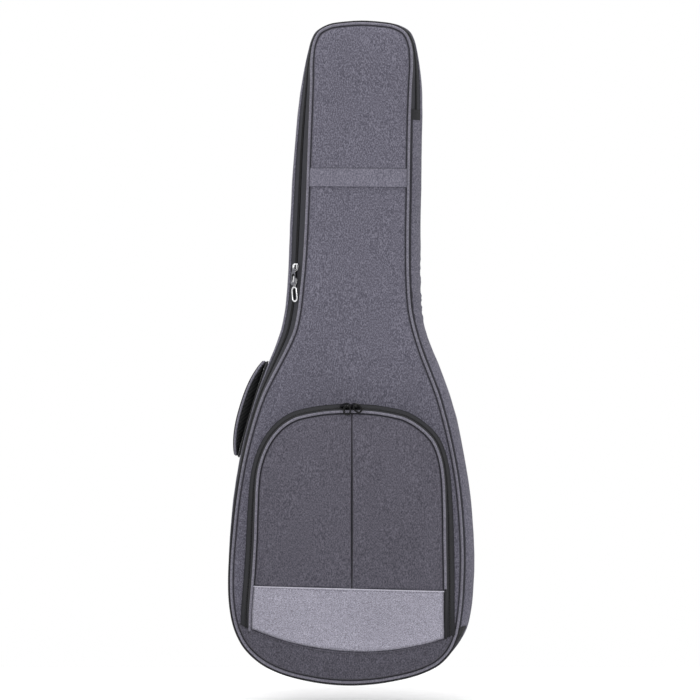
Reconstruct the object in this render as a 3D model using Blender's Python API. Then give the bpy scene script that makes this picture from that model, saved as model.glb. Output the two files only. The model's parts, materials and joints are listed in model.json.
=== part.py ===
"""Padded gig bag for an electric guitar: foam walls, a zipped front cover and an arched front pocket.

The bag stands upright with its front facing -Y. Lengths are metres. Most shapes are given as
(x, h) points, x to the right and h up from the bag's foot, and the whole bag is then moved so
that the world origin lies under the top of the webbing loop that it hangs by.
"""

import math

import bmesh
import bpy
import numpy as np

# Driving dimensions
DEPTH = 0.100           # shell thickness, front fabric to back fabric
FABRIC = 0.0015
LINING = 0.0010
PANEL_FOAM = 0.0110
WALL_FOAM = 0.0080
GAP = 0.0003            # between pieces that touch on the real bag
PIPING_R = 0.0025
BINDING = 0.0030        # from a piping's centre line to the edge of the panel it borders
WEBBING = 0.0018
POCKET_DEPTH = 0.024    # pocket face in front of the cover
POCKET_BASE = 0.004     # pocket face in front of the cover at its hinge line
HANDLE_CLEAR = 0.0012   # from the gusset to the line that the handle swings about
POCKET_BAND = 0.012     # width of the sloped zip band beside the pocket, seen from the front
LOOP_STAND = 0.018      # inside of the hanging loop from the back
HANG_POINT = (0.018, 0.0580, 1.022)

FRONT = -DEPTH / 2
BACK = DEPTH / 2
ZIP_FRONT = FRONT + 0.0055   # where the sloped zip band leaves the front piping
ZIP_BACK = -0.0220           # where it meets the gusset
WALL_START = ZIP_BACK + 0.0020
WALL_END = BACK - 2 * PIPING_R - 2 * GAP

# Outline of the front piping, clockwise from the middle of the foot, in millimetres
FRONT_OUTLINE = [
    (0, 4), (-77, 13), (-131, 32), (-166, 62), (-184, 102), (-190, 160), (-186, 235),
    (-176, 320), (-161, 392), (-139, 462), (-112, 516), (-88, 568), (-78, 630), (-71, 720),
    (-66, 850), (-62, 960), (-60, 1015), (-49, 1044), (-20, 1056), (58, 1056), (87, 1044),
    (98, 1015), (97, 960), (95, 905), (93, 776), (92, 690), (95, 610), (103, 568), (117, 524),
    (140, 464), (159, 392), (172, 320), (179, 235), (179, 165), (172, 92), (160, 58),
    (134, 32), (80, 13),
]
# The same points where the gusset stands widest
WIDE_OUTLINE = [
    (0, 0), (-79, 7), (-137, 28), (-170, 56), (-188, 98), (-195, 158), (-193, 240),
    (-184, 322), (-171, 390), (-150, 464), (-129, 520), (-111, 568), (-101, 630), (-97, 720),
    (-90, 850), (-78, 960), (-67, 1018), (-55, 1048), (-24, 1062), (64, 1062), (96, 1049),
    (108, 1018), (115, 960), (116, 905), (114, 776), (113, 690), (115, 605), (122, 566),
    (137, 526), (160, 466), (179, 390), (192, 314), (199, 235), (199, 165), (190, 94),
    (168, 55), (139, 28), (84, 6),
]
SPAN_POINTS = 2               # curve points made from each outline point
ZIP_TOP_END = 23              # outline points where the main zip stops on the right side
ZIP_LOW_END = 34
FOAM_ENDS = (2, 11, 16, 21, 27, 36)   # outline points where one piece of wall foam meets the next

# Pocket piping, clockwise from its lower left end, in millimetres
POCKET_OUTLINE = [
    (-160, 94), (-159, 120), (-155, 168), (-151, 232), (-149, 296), (-145, 344), (-131, 384),
    (-108, 413), (-78, 429), (0, 438), (78, 429), (108, 414), (133, 389), (146, 350),
    (150, 296), (151, 232), (152, 168), (152, 120), (153, 80),
]
POCKET_HINGE_H = 0.0610
ACCENT_H = 0.1550

SLIDER_H = 0.6700             # upper main slider
SLIDER_TRAVEL_H = 0.7900
SLIDER_TALL = 0.0036
SLIDER_SPACING = 0.0220       # upper main slider to lower one
POCKET_SLIDER_X = (-0.0060, 0.0110)
POCKET_SLIDER_TRAVEL = 0.050

NECK_BAND_H = (0.7980, 0.8280)
NECK_BAND_DROP = 0.0015       # how much lower its right end is sewn
SCUFF_ARC = (0.054, -0.0428, 1.188)   # height of the scuff panel's edge, as a + b x + c x x
PLEAT_X = 0.0030
SLIT = 0.0008                 # half of the pleat's mouth
PLEAT_HALF = 0.0200

STRAP_CENTRE = 0.008
STRAP_THICK = 0.0100
STRAP_PATH = ((0.026, 0.592), (0.040, 0.540), (0.062, 0.470), (0.085, 0.400), (0.098, 0.330),
              (0.101, 0.255))     # x from the middle of the back, and height
HANDLE_H = (0.365, 0.517)
HANDLE_BOW = 0.0135           # how far the handle's front edge bows out from its ends
HANDLE_END_OUT = 0.0080

HEATHER = ("6c6a76", 0.9, 0.0)
HEATHER_DARK = ("5a5963", 0.9, 0.0)
HEATHER_LIGHT = ("9896a3", 0.9, 0.0)
SCUFF = ("504f57", 0.85, 0.0)
PIPING = ("7f7d88", 0.8, 0.0)
TAPE = ("3a3a3f", 0.8, 0.0)
COIL = ("26272a", 0.5, 0.0)
FOAM = ("b9b9b4", 0.95, 0.0)
PLUSH = ("2b2c31", 0.95, 0.0)
BLACK_WEB = ("1f2023", 0.8, 0.0)
NICKEL = ("d8d8da", 0.25, 1.0)
BLACK_METAL = ("18191b", 0.35, 0.6)
PLASTIC = ("141517", 0.45, 0.0)


# Curves

def smooth_curve(points, closed):
    """Centripetal Catmull-Rom curve through the points, SPAN_POINTS to each one."""
    knots = np.array(points, float) / 1000
    count = len(knots)
    if closed:
        padded = np.vstack([knots[-1:], knots, knots[:2]])
    else:
        padded = np.vstack([2 * knots[0] - knots[1], knots, 2 * knots[-1] - knots[-2]])
    curve = []
    for i in range(count if closed else count - 1):
        p = padded[i:i + 4]
        t = np.concatenate([[0], np.cumsum(np.sqrt(np.linalg.norm(np.diff(p, axis=0), axis=1)))])
        for step in range(SPAN_POINTS):
            curve.append(curve_point(p, t, t[1] + (t[2] - t[1]) * step / SPAN_POINTS))
    if not closed:
        curve.append(knots[-1])
    return np.array(curve)


def curve_point(p, t, at):
    """Point of one curve span at parameter at, by repeated interpolation."""
    a = [between(p[i], p[i + 1], (at - t[i]) / (t[i + 1] - t[i])) for i in range(3)]
    b = [between(a[i], a[i + 1], (at - t[i]) / (t[i + 2] - t[i])) for i in range(2)]
    return between(b[0], b[1], (at - t[1]) / (t[2] - t[1]))


def between(a, b, share):
    return a + (b - a) * share


def inset(loop, distance, closed=True):
    """The loop moved to its own right, which is inwards on a clockwise outline."""
    if closed:
        along = np.roll(loop, -1, axis=0) - np.roll(loop, 1, axis=0)
    else:
        along = np.gradient(loop, axis=0)
    along = along / np.linalg.norm(along, axis=1)[:, None]
    return loop + distance * np.column_stack([along[:, 1], -along[:, 0]])


def lift(loop, y):
    """(x, h) points made (x, y, h)."""
    return np.column_stack([loop[:, 0], np.broadcast_to(y, len(loop)), loop[:, 1]])


def x_at(curve, h):
    """x of a curve that climbs or falls steadily, at height h."""
    order = np.argsort(curve[:, 1])
    return float(np.interp(h, curve[order, 1], curve[order, 0]))


def trimmed(rail, gap):
    """The rail with its first and last points moved in by a gap."""
    rail = np.array(rail, float)
    rail[0] = between(rail[0], rail[1], gap / np.linalg.norm(rail[1] - rail[0]))
    rail[-1] = between(rail[-1], rail[-2], gap / np.linalg.norm(rail[-2] - rail[-1]))
    return rail


def span(start, end, count):
    """Indices of an outline's curve points from one outline point to another."""
    return np.arange(start * SPAN_POINTS, end * SPAN_POINTS + 1) % (count * SPAN_POINTS)


# Objects

def finish_material(name, finish):
    colour, roughness, metallic = finish
    channels = [int(colour[i:i + 2], 16) / 255 for i in (0, 2, 4)]
    linear = [c / 12.92 if c <= 0.04045 else ((c + 0.055) / 1.055) ** 2.4 for c in channels]
    material = bpy.data.materials.new(name + "_finish")
    material.use_nodes = True
    shader = material.node_tree.nodes["Principled BSDF"]
    shader.inputs["Base Color"].default_value = (*linear, 1)
    shader.inputs["Roughness"].default_value = roughness
    shader.inputs["Metallic"].default_value = metallic
    return material


def add_object(name, points, faces, finish, pivot=(0, 0, 0)):
    """A mesh object whose origin is the pivot, under the empty that carries the bag."""
    mesh = bpy.data.meshes.new(name)
    mesh.from_pydata([tuple(p) for p in np.asarray(points) - np.array(pivot)], [], faces)
    shape = bmesh.new()
    shape.from_mesh(mesh)
    bmesh.ops.recalc_face_normals(shape, faces=shape.faces)
    shape.to_mesh(mesh)
    shape.free()
    mesh.shade_smooth()
    mesh.set_sharp_from_angle(angle=math.radians(35))
    mesh.materials.append(finish_material(name, finish))
    obj = bpy.data.objects.new(name, mesh)
    obj.location = pivot
    obj.parent = bpy.data.objects["bag"]
    bpy.context.scene.collection.objects.link(obj)
    return obj


def sweep(name, rails, finish, closed=True, pivot=(0, 0, 0)):
    """A solid between rails of equal length: rail k joins rail k + 1, and the last the first."""
    rails = [np.asarray(rail) for rail in rails]
    length = len(rails[0])
    faces = []
    for k in range(len(rails)):
        a = k * length
        b = (k + 1) % len(rails) * length
        for i in range(length if closed else length - 1):
            j = (i + 1) % length
            faces.append((a + i, a + j, b + j, b + i))
    if not closed:
        faces.append(tuple(k * length for k in range(len(rails))))
        faces.append(tuple(k * length + length - 1 for k in range(len(rails))))
    return add_object(name, np.vstack(rails), faces, finish, pivot)


def plate(name, loop, low_y, high_y, finish, pivot=(0, 0, 0)):
    """A flat panel with the given outline between two depths."""
    count = len(loop)
    points = np.vstack([lift(loop, low_y), lift(loop, high_y)])
    faces = [tuple(range(count)), tuple(range(count, 2 * count))]
    for i in range(count):
        j = (i + 1) % count
        faces.append((i, j, count + j, count + i))
    return add_object(name, points, faces, finish, pivot)


def block(name, low, high, finish, pivot=(0, 0, 0)):
    """A box between two corners."""
    loop = np.array([(low[0], low[2]), (low[0], high[2]), (high[0], high[2]), (high[0], low[2])])
    return plate(name, loop, low[1], high[1], finish, pivot)


def tube(name, loop, y, radius, finish, closed=True, pivot=(0, 0, 0)):
    """Round piping along a loop; y is one depth or one for each point."""
    sides = 6
    rails = []
    for k in range(sides):
        turn = 2 * math.pi * k / sides
        rails.append(lift(inset(loop, radius * math.cos(turn), closed), y + radius * math.sin(turn)))
    return sweep(name, rails, finish, closed, pivot)


def wall(name, loop, near, far, low_y, high_y, finish, part=None):
    """A gusset layer: from near to far inside the loop, between two depths."""
    rails = []
    for distance, y in ((near, low_y), (near, high_y), (far, high_y), (far, low_y)):
        rail = lift(inset(loop, distance), y)
        rails.append(rail if part is None else trimmed(rail[part], 2 * GAP))
    return sweep(name, rails, finish, part is None)


def band(name, inner, outer, start, end, thickness, finish, pivot=(0, 0, 0)):
    """A strip of a sloped face, from share start to share end of the way from inner to outer."""
    along = np.gradient(inner, axis=0)
    normal = np.cross(along, outer - inner)
    normal = normal / np.linalg.norm(normal, axis=1)[:, None]
    normal = normal * np.sign(normal[:, 1])[:, None]
    near = between(inner, outer, start)
    far = between(inner, outer, end)
    rails = [near, far, far + normal * thickness, near + normal * thickness]
    return sweep(name, rails, finish, False, pivot)


def strap(name, path, widths, low_y, high_y, finish):
    """A flat strap along (x, h) points, with a width at each."""
    path = np.array(path, float)
    half = np.array(widths)[:, None] / 2
    side = inset(path, 1.0, closed=False) - path
    rails = [lift(path - side * half, low_y), lift(path + side * half, low_y),
             lift(path + side * half, high_y), lift(path - side * half, high_y)]
    return sweep(name, rails, finish, False)


def local_solid(name, outline, thickness, axes, finish, pivot, hole=None):
    """An outline (u, v) extruded along w; axes are the origin and the u, v and w directions."""
    origin, u, v, w = [np.array(a, float) for a in axes]

    def placed(loop, height):
        loop = np.array(loop, float)
        return origin + loop[:, :1] * u + loop[:, 1:] * v + height * w

    if hole is not None:
        rails = [placed(outline, 0), placed(outline, thickness), placed(hole, thickness),
                 placed(hole, 0)]
        return sweep(name, rails, finish, True, pivot)
    count = len(outline)
    faces = [tuple(range(count)), tuple(range(count, 2 * count))]
    for i in range(count):
        j = (i + 1) % count
        faces.append((i, j, count + j, count + i))
    points = np.vstack([placed(outline, 0), placed(outline, thickness)])
    return add_object(name, points, faces, finish, pivot)


def rectangle(width, low, high):
    return [(-width / 2, low), (width / 2, low), (width / 2, high), (-width / 2, high)]


def oval(width, low, high, points=20):
    """An upright oblong with round ends, as (u, v) points."""
    radius = width / 2
    straight = (high - low) / 2 - radius
    middle = (high + low) / 2
    loop = []
    for i in range(points):
        turn = 2 * math.pi * (i + 0.5) / points
        rise = math.copysign(straight, math.sin(turn))
        loop.append((radius * math.cos(turn), middle + rise + radius * math.sin(turn)))
    return loop


def unit(vector):
    vector = np.array(vector, float)
    return vector / np.linalg.norm(vector)


# Shell and cover

def back_half(wide):
    """The fixed half: gusset walls, back panel and its trim."""
    layers = (("back_lining", LINING), ("back_padding", PANEL_FOAM), ("back_panel", FABRIC))
    edges = {"back_lining": BINDING + 0.0032, "back_padding": BINDING + 0.0032,
             "back_panel": 2 * BINDING}
    finishes = {"back_lining": PLUSH, "back_padding": FOAM, "back_panel": HEATHER}
    low = BACK - LINING - PANEL_FOAM - FABRIC - 2 * GAP
    for name, thickness in layers:
        plate(name, inset(wide, edges[name]), low, low + thickness, finishes[name])
        low += thickness + GAP
    inner_end = BACK - LINING - PANEL_FOAM - FABRIC - 3 * GAP
    foam_near = FABRIC + GAP
    foam_far = foam_near + WALL_FOAM
    wall("gusset_panel", wide, 0, FABRIC, WALL_START, WALL_END, HEATHER)
    wall("gusset_lining", wide, foam_far + GAP, foam_far + GAP + LINING, WALL_START, inner_end,
         PLUSH)
    count = len(WIDE_OUTLINE)
    places = ("left_lower", "left_upper", "top", "right_upper", "right_lower", "foot")
    ends = FOAM_ENDS[1:] + (FOAM_ENDS[0] + count,)
    for place, start, end in zip(places, FOAM_ENDS, ends):
        wall("gusset_padding_" + place, wide, foam_near, foam_far, WALL_START, inner_end, FOAM,
             span(start, end, count))
    tube("back_piping", inset(wide, BINDING), BACK - PIPING_R, PIPING_R, PIPING)


def cover_pivot(front):
    """Two points of the cover's fold line, which clears the right side of the front outline."""
    top = front[21 * SPAN_POINTS] + (0.0035, 0)
    low = front[31 * SPAN_POINTS] + (0.0035, 0)
    return np.array([top[0], FRONT - 0.0005, top[1]]), np.array([low[0], FRONT - 0.0005, low[1]])


def front_cover(front, pivot):
    """The layers of the opening cover and its piping."""
    low = FRONT
    for name, thickness, edge, finish in (("front_panel", FABRIC, BINDING, HEATHER),
                                          ("front_padding", PANEL_FOAM, 0.0060, FOAM),
                                          ("front_lining", LINING, 0.0040, PLUSH)):
        plate(name, inset(front, edge), low, low + thickness, finish, pivot)
        low += thickness + GAP
    tube("front_piping", front, FRONT + PIPING_R, PIPING_R, PIPING, pivot=pivot)


def main_zip(front, wide, pivot):
    """Both zip tapes with their coils, and the plain fold of cloth where the cover is hinged."""
    count = len(FRONT_OUTLINE)
    part = span(ZIP_LOW_END - count, ZIP_TOP_END, count)
    inner = lift(front, ZIP_FRONT)[part]
    outer = lift(wide, ZIP_BACK)[part]
    band("main_zip_tape_front", inner, outer, 0.0, 0.42, 0.0010, TAPE, pivot)
    band("main_zip_coil_front", inner, outer, 0.44, 0.492, 0.0016, COIL, pivot)
    band("main_zip_coil_rear", inner, outer, 0.508, 0.56, 0.0016, COIL)
    band("main_zip_tape_rear", inner, outer, 0.58, 1.0, 0.0010, TAPE)
    fold = span(ZIP_TOP_END, ZIP_LOW_END, count)
    inner = trimmed(lift(front, ZIP_FRONT)[fold], 2 * GAP)
    outer = trimmed(lift(wide, ZIP_BACK)[fold], 2 * GAP)
    band("hinge_gusset", inner, outer, 0.16, 1.0, FABRIC, HEATHER)


def scuff_edge(x):
    """Height of the scuff panel's upper edge, a shallow arc a little lower at the right."""
    base, slope, curve = SCUFF_ARC
    return base + slope * x + curve * x * x


def cover_trim(front, pivot):
    """The band across the neck and the scuff panel round the foot."""
    edge = inset(front, BINDING)
    left = edge[:20 * SPAN_POINTS]
    right = edge[20 * SPAN_POINTS:]
    low, high = NECK_BAND_H
    loop = []
    for h, side in ((low, left), (high, left), (high - NECK_BAND_DROP, right),
                    (low - NECK_BAND_DROP, right)):
        loop.append((x_at(side, h), h))
    face = FRONT - GAP
    plate("neck_band", np.array(loop), face - FABRIC, face, HEATHER, pivot)
    foot = [p for p in np.roll(edge, 10, axis=0)[:25] if p[1] < scuff_edge(p[0]) - 0.001]
    foot = np.array(foot)
    rim_x = np.linspace(foot[-1, 0] + 0.001, foot[0, 0] - 0.001, 16)
    rim = np.column_stack([rim_x, scuff_edge(rim_x)])
    plate("scuff_panel", np.vstack([foot, rim]), face - FABRIC, face, SCUFF, pivot)


# Pocket

def pocket_face(h):
    """How far the pocket's face stands in front of the cover at height h."""
    share = np.clip((np.asarray(h) - POCKET_HINGE_H) / (ACCENT_H - POCKET_HINGE_H), 0, 1)
    return POCKET_BASE + (POCKET_DEPTH - POCKET_BASE) * share * share * (3 - 2 * share)


def pocket_rows(edge):
    """Heights of the pocket face's rows, and its left and right edges there."""
    top = np.argmax(edge[:, 1])
    left = edge[:top + 1]
    right = edge[top:]
    heights = np.concatenate([POCKET_HINGE_H + np.linspace(0, 0.094, 10),
                              [0.232, 0.296, 0.344, 0.372, 0.396, 0.412, 0.424, 0.4325]])
    rows = []
    for h in heights:
        reach = foot_reach(h)
        rows.append((h, max(x_at(left, h), reach[0]), min(x_at(right, h), reach[1])))
    return np.array(rows)


def foot_reach(h):
    """The stretch of x over which height h is above the scuff panel's edge, with a small gap."""
    base, slope, curve = SCUFF_ARC
    above = h - 0.001 - base
    root = math.sqrt(max(slope ** 2 + 4 * curve * above, 0))
    return (-slope - root) / (2 * curve), (-slope + root) / (2 * curve)


def face_strip(name, rows, left, right, forward, thickness, finish, pivot):
    """A piece of the pocket's face between two x edges, a distance in front of its surface."""
    h = rows[:, 0]
    y = FRONT - pocket_face(h) - forward
    rails = [np.column_stack([left, y, h]), np.column_stack([right, y, h]),
             np.column_stack([right, y + thickness, h]), np.column_stack([left, y + thickness, h])]
    return sweep(name, rails, finish, False, pivot)


def pocket_flap(pocket, pivot):
    """The pocket's face: two halves, the pleat behind their slit, piping and accent band."""
    rows = pocket_rows(inset(pocket, BINDING, closed=False))
    high = len(rows)
    face_strip("pocket_panel_left", rows, rows[:, 1], np.full(high, PLEAT_X - SLIT), 0, FABRIC,
               HEATHER_DARK, pivot)
    face_strip("pocket_panel_right", rows, np.full(high, PLEAT_X + SLIT), rows[:, 2], 0, FABRIC,
               HEATHER_DARK, pivot)
    pleat = rows[(rows[:, 0] > 0.14) & (rows[:, 0] < 0.43)]
    face_strip("pocket_pleat", pleat, np.full(len(pleat), PLEAT_X - PLEAT_HALF),
               np.full(len(pleat), PLEAT_X + PLEAT_HALF), -FABRIC - GAP, 0.0010, HEATHER_DARK,
               pivot)
    accent = rows[rows[:, 0] <= ACCENT_H + 0.0001]
    face_strip("accent_band", accent, accent[:, 1] + 0.001, accent[:, 2] - 0.001,
               FABRIC + GAP, FABRIC, HEATHER_LIGHT, pivot)
    y = FRONT - pocket_face(pocket[:, 1]) + 0.0010
    tube("pocket_piping", pocket, y, PIPING_R, PIPING, False, pivot)


def pocket_zip(pocket, cover, flap):
    """The sloped zip band round the pocket: inner half on the flap, outer half on the cover."""
    pocket = pocket[1:-1]
    base = inset(pocket, -POCKET_BAND, closed=False)
    inner = lift(pocket, FRONT - pocket_face(pocket[:, 1]) + 0.0042)
    outer = lift(base, FRONT - 0.0016)
    inner[:, 1] = np.minimum(inner[:, 1], outer[:, 1] - 0.0030)
    band("pocket_zip_tape_inner", inner, outer, 0.02, 0.40, 0.0008, TAPE, flap)
    band("pocket_zip_coil_inner", inner, outer, 0.43, 0.488, 0.0010, COIL, flap)
    band("pocket_zip_coil_outer", inner, outer, 0.512, 0.57, 0.0010, COIL, cover)
    band("pocket_zip_tape_outer", inner, outer, 0.60, 1.0, 0.0008, TAPE, cover)
    return inner, outer


# Sliders and pulls

def pear(width, length):
    """A zip slider's plan: round at the nose, waisted, and square at the tail."""
    loop = []
    for i in range(9):
        turn = math.pi * i / 8
        loop.append((width / 2 * math.cos(turn), width * 0.42 * math.sin(turn)))
    loop += [(-width * 0.36, -length * 0.36), (-width * 0.36, -length * 0.62),
             (width * 0.36, -length * 0.62), (width * 0.36, -length * 0.36)]
    return loop


def zip_place(inner, outer, low_h, high_h):
    """Middle of the left neck's zip at the lower height, and its up, across and out directions."""
    middle = between(inner, outer, 0.5)
    climb = np.argsort(middle[:, 2])
    spots = []
    for h in (low_h, high_h):
        spots.append([np.interp(h, middle[climb, 2], middle[climb, axis]) for axis in range(3)])
    spots = np.array(spots)
    up = unit(spots[1] - spots[0])
    near = np.argmin(abs(middle[:, 2] - low_h))
    across = unit(outer[near] - inner[near])
    out = unit(np.cross(across, up))
    out = out * -np.sign(out[1])
    return spots[0], up, unit(np.cross(up, out)), out


def main_sliders(front, wide):
    """Two sliders nose to tail on the left of the neck, each with its pull."""
    side = slice(12 * SPAN_POINTS, 15 * SPAN_POINTS + 1)
    inner = lift(front, ZIP_FRONT)[side]
    outer = lift(wide, ZIP_BACK)[side]
    spot, up, across, out = zip_place(inner, outer, SLIDER_H, SLIDER_TRAVEL_H)
    seat = spot + out * 0.0012
    local_solid("main_slider_upper", pear(0.0125, 0.014), SLIDER_TALL, (seat, across, up, out),
                NICKEL, seat)
    pin = seat - up * 0.0060 + out * 0.0058
    local_solid("main_pull_plate", oval(0.0110, -0.0230, 0.0), 0.0014, (pin, across, up, out),
                NICKEL, pin, oval(0.0036, -0.0180, -0.0050))
    low_seat = seat - up * SLIDER_SPACING
    local_solid("main_slider_lower", pear(0.0115, 0.014), SLIDER_TALL,
                (low_seat, across, up, out), NICKEL, low_seat)
    low_pin = low_seat - up * 0.0115 + out * 0.0038
    local_solid("main_pull_loop", oval(0.0130, -0.0260, 0.0), 0.0022,
                (low_pin, across, up, out), NICKEL, low_pin, oval(0.0072, -0.0231, -0.0029))


def pocket_sliders(inner, outer):
    """Two black sliders at the top of the pocket, each with a ring pull over the piping."""
    middle = between(inner, outer, 0.5)
    for name, x, way in zip(("left", "right"), POCKET_SLIDER_X, (-1, 1)):
        ends = []
        for at in (x, x + way * POCKET_SLIDER_TRAVEL):
            ends.append([np.interp(at, middle[:, 0], middle[:, axis]) for axis in range(3)])
        ends = np.array(ends)
        along = unit(ends[1] - ends[0])
        near = np.argmin(abs(middle[:, 0] - x))
        out = unit(np.cross(outer[near] - inner[near], along))
        out = out * -np.sign(out[1])
        across = unit(np.cross(along, out))
        seat = ends[0] + out * 0.0014
        local_solid("pocket_slider_" + name, pear(0.0090, 0.012), 0.0034,
                    (seat, across, -along, out), BLACK_METAL, seat)
        face = FRONT - POCKET_DEPTH - 0.0052
        pin = np.array([seat[0], face, 0.4480])
        local_solid("pocket_pull_" + name, oval(0.0110, -0.0135, 0.0), 0.0016,
                    (pin, (1, 0, 0), (0, 0, 1), (0, -1, 0)), BLACK_METAL, pin,
                    oval(0.0070, -0.0115, -0.0020))


# Handle, straps and hanging loop

def handle_arch(share):
    """Stand-off of the handle along its length: 0 at its ends, 1 in the middle."""
    return (1 - abs(2 * share - 1) ** 2.4) ** 0.9


def side_handle(wide):
    """A bowed padded handle on the left gusset, tilted so that its front edge stands off more."""
    left = wide[4 * SPAN_POINTS:14 * SPAN_POINTS]
    low_h, top_h = HANDLE_H
    top = np.array([x_at(left, top_h), 0, top_h])
    low = np.array([x_at(left, low_h), 0, low_h])
    away = unit(np.array([-(top - low)[2], 0, (top - low)[0]]))
    top += away * HANDLE_CLEAR
    low += away * HANDLE_CLEAR
    shares = 0.5 - 0.5 * np.cos(np.linspace(0, math.pi, 21))
    arch = handle_arch(shares)[:, None]
    chord = top + (low - top) * shares[:, None]
    half = 0.006 + 0.014 * arch ** 0.5
    y_way = np.array([0, 1, 0])
    front_out = HANDLE_END_OUT + HANDLE_BOW * arch
    rear_out = HANDLE_END_OUT + 0.0010 * arch
    pivot = (top + low) / 2

    def rail(out, y_half, depth):
        return chord + away * (out - depth) + y_way * y_half

    for name, near, far, finish in (("side_handle_cover", 0.0, 0.0016, HEATHER),
                                    ("side_handle_lining", 0.0026, 0.0042, BLACK_WEB)):
        rails = [rail(front_out, -half, near), rail(rear_out, half, near),
                 rail(rear_out, half, far), rail(front_out, -half, far)]
        sweep(name, rails, finish, False, pivot)
    down = unit(low - top)
    for name, spot in (("handle_anchor_upper", top + down * 0.006),
                       ("handle_anchor_lower", low - down * 0.006)):
        origin = np.array([x_at(left, spot[2]), 0, spot[2]]) + away * 0.0009
        local_solid(name, rectangle(0.026, -0.009, 0.009), 0.0012, (origin, y_way, down, away),
                    BLACK_WEB, (0, 0, 0))


def shoulder_strap(side, centre):
    """One padded shoulder strap, its ladder-lock, lower webbing and tab, flat on the back."""
    name = "left" if side < 0 else "right"
    face = BACK + GAP
    path = [(centre + side * x, h) for x, h in STRAP_PATH]
    path = smooth_curve(np.array(path) * 1000, False)
    widths = np.full(len(path), 0.058)
    widths[0] = 0.044
    widths[-1] = 0.040
    strap("shoulder_strap_" + name, path, widths, face, face + STRAP_THICK, HEATHER)
    buckle_x = centre + side * 0.1015
    block("strap_buckle_" + name, (buckle_x - 0.019, face + 0.0022, 0.222),
          (buckle_x + 0.019, face + 0.0080, 0.2495), PLASTIC)
    strap("strap_webbing_" + name, [(centre + side * 0.101, 0.249), (centre + side * 0.108, 0.180),
                                    (centre + side * 0.118, 0.118)], (0.025, 0.025, 0.025),
          face, face + WEBBING, BLACK_WEB)
    strap("strap_tab_" + name, [(centre + side * 0.1165, 0.128), (centre + side * 0.124, 0.088)],
          (0.036, 0.050), face + WEBBING + GAP, face + WEBBING + GAP + 0.0024, HEATHER_DARK)


def strap_yoke(centre):
    """The sewn patch that holds both shoulder straps to the back."""
    face = BACK + STRAP_THICK + 2 * GAP
    loop = np.array([(centre - 0.058, 0.582), (centre - 0.050, 0.612), (centre + 0.050, 0.612),
                     (centre + 0.058, 0.582)])
    plate("strap_yoke", loop, face, face + 0.0022, HEATHER_DARK)


def hang_loop():
    """A bow of webbing on the back of the neck; the bag hangs from the inside of its top."""
    x, _, h = HANG_POINT
    face = BACK + GAP
    heights = (-0.112, -0.092, -0.078, -0.060, -0.030, -0.012, 0.0, 0.010, 0.030)
    stand = (0.0, 0.0, 0.35, 0.80, 1.0, 1.0, 0.80, 0.0, 0.0)
    inner_y = [face + LOOP_STAND * s for s in stand]
    rails = []
    for half, extra in ((-0.0125, 0), (0.0125, 0), (0.0125, 0.0022), (-0.0125, 0.0022)):
        rails.append([(x + half, y0 + extra, h + dz) for y0, dz in zip(inner_y, heights)])
    sweep("hang_loop", rails, BLACK_WEB, False)


# Inside

def inside_pieces():
    """Foam supports for the instrument and the strap that holds its neck."""
    rest = BACK - LINING - PANEL_FOAM - FABRIC - 3 * GAP
    low_y = -0.004
    notch = 0.030
    centre = 0.011
    cradle = np.array([(-0.078, low_y), (centre - notch, low_y), (centre - notch + 0.008, 0.018),
                       (centre + notch - 0.008, 0.018), (centre + notch, low_y), (0.098, low_y),
                       (0.098, rest), (-0.078, rest)])
    rails = [[(x, y, 0.745), (x, y, 0.795)] for x, y in cradle]
    sweep("neck_cradle", rails, PLUSH, False)
    top = low_y - GAP - WEBBING
    block("neck_strap_patch", (0.062, top - GAP, 0.752), (0.094, low_y - GAP, 0.788), BLACK_WEB)
    block("neck_strap", (-0.074, top - 2 * GAP - WEBBING, 0.754), (0.090, top - 2 * GAP, 0.786),
          BLACK_WEB)
    block("headstock_pad", (-0.036, 0.010, 1.005), (0.078, rest, 1.043), PLUSH)
    block("end_bumper", (-0.075, -0.030, 0.0225), (0.075, rest, 0.050), PLUSH)


def clear_scene():
    for obj in list(bpy.data.objects):
        bpy.data.objects.remove(obj)


def main():
    clear_scene()
    bag = bpy.data.objects.new("bag", None)
    bag.location = [-c for c in HANG_POINT]
    bpy.context.scene.collection.objects.link(bag)
    front = smooth_curve(FRONT_OUTLINE, True)
    wide = smooth_curve(WIDE_OUTLINE, True)
    pocket = smooth_curve(POCKET_OUTLINE, False)
    cover = cover_pivot(front)[0]
    flap = np.array([0.0, FRONT - 0.0020, POCKET_HINGE_H])
    back_half(wide)
    front_cover(front, cover)
    main_zip(front, wide, cover)
    cover_trim(front, cover)
    pocket_flap(pocket, flap)
    inner, outer = pocket_zip(pocket, cover, flap)
    main_sliders(front, wide)
    pocket_sliders(inner, outer)
    side_handle(wide)
    for side in (-1, 1):
        shoulder_strap(side, STRAP_CENTRE)
    strap_yoke(STRAP_CENTRE)
    hang_loop()
    inside_pieces()


main()
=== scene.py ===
"""Looks of a padded gig bag for an electric guitar, built round its CAD frame.

The bag hangs upright with its front facing -Y, and x to its right as seen from the front. Lengths
are metres. Cloth panels are grids of points laid between the bag's own seam lines, given
thickness and closed. A shade of 0 to 1 on a cloth's points darkens its colour: painted shade
where it dips to a seam, in gaps and slits, and towards the lower part of the bag.
"""
import json
import math

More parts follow.
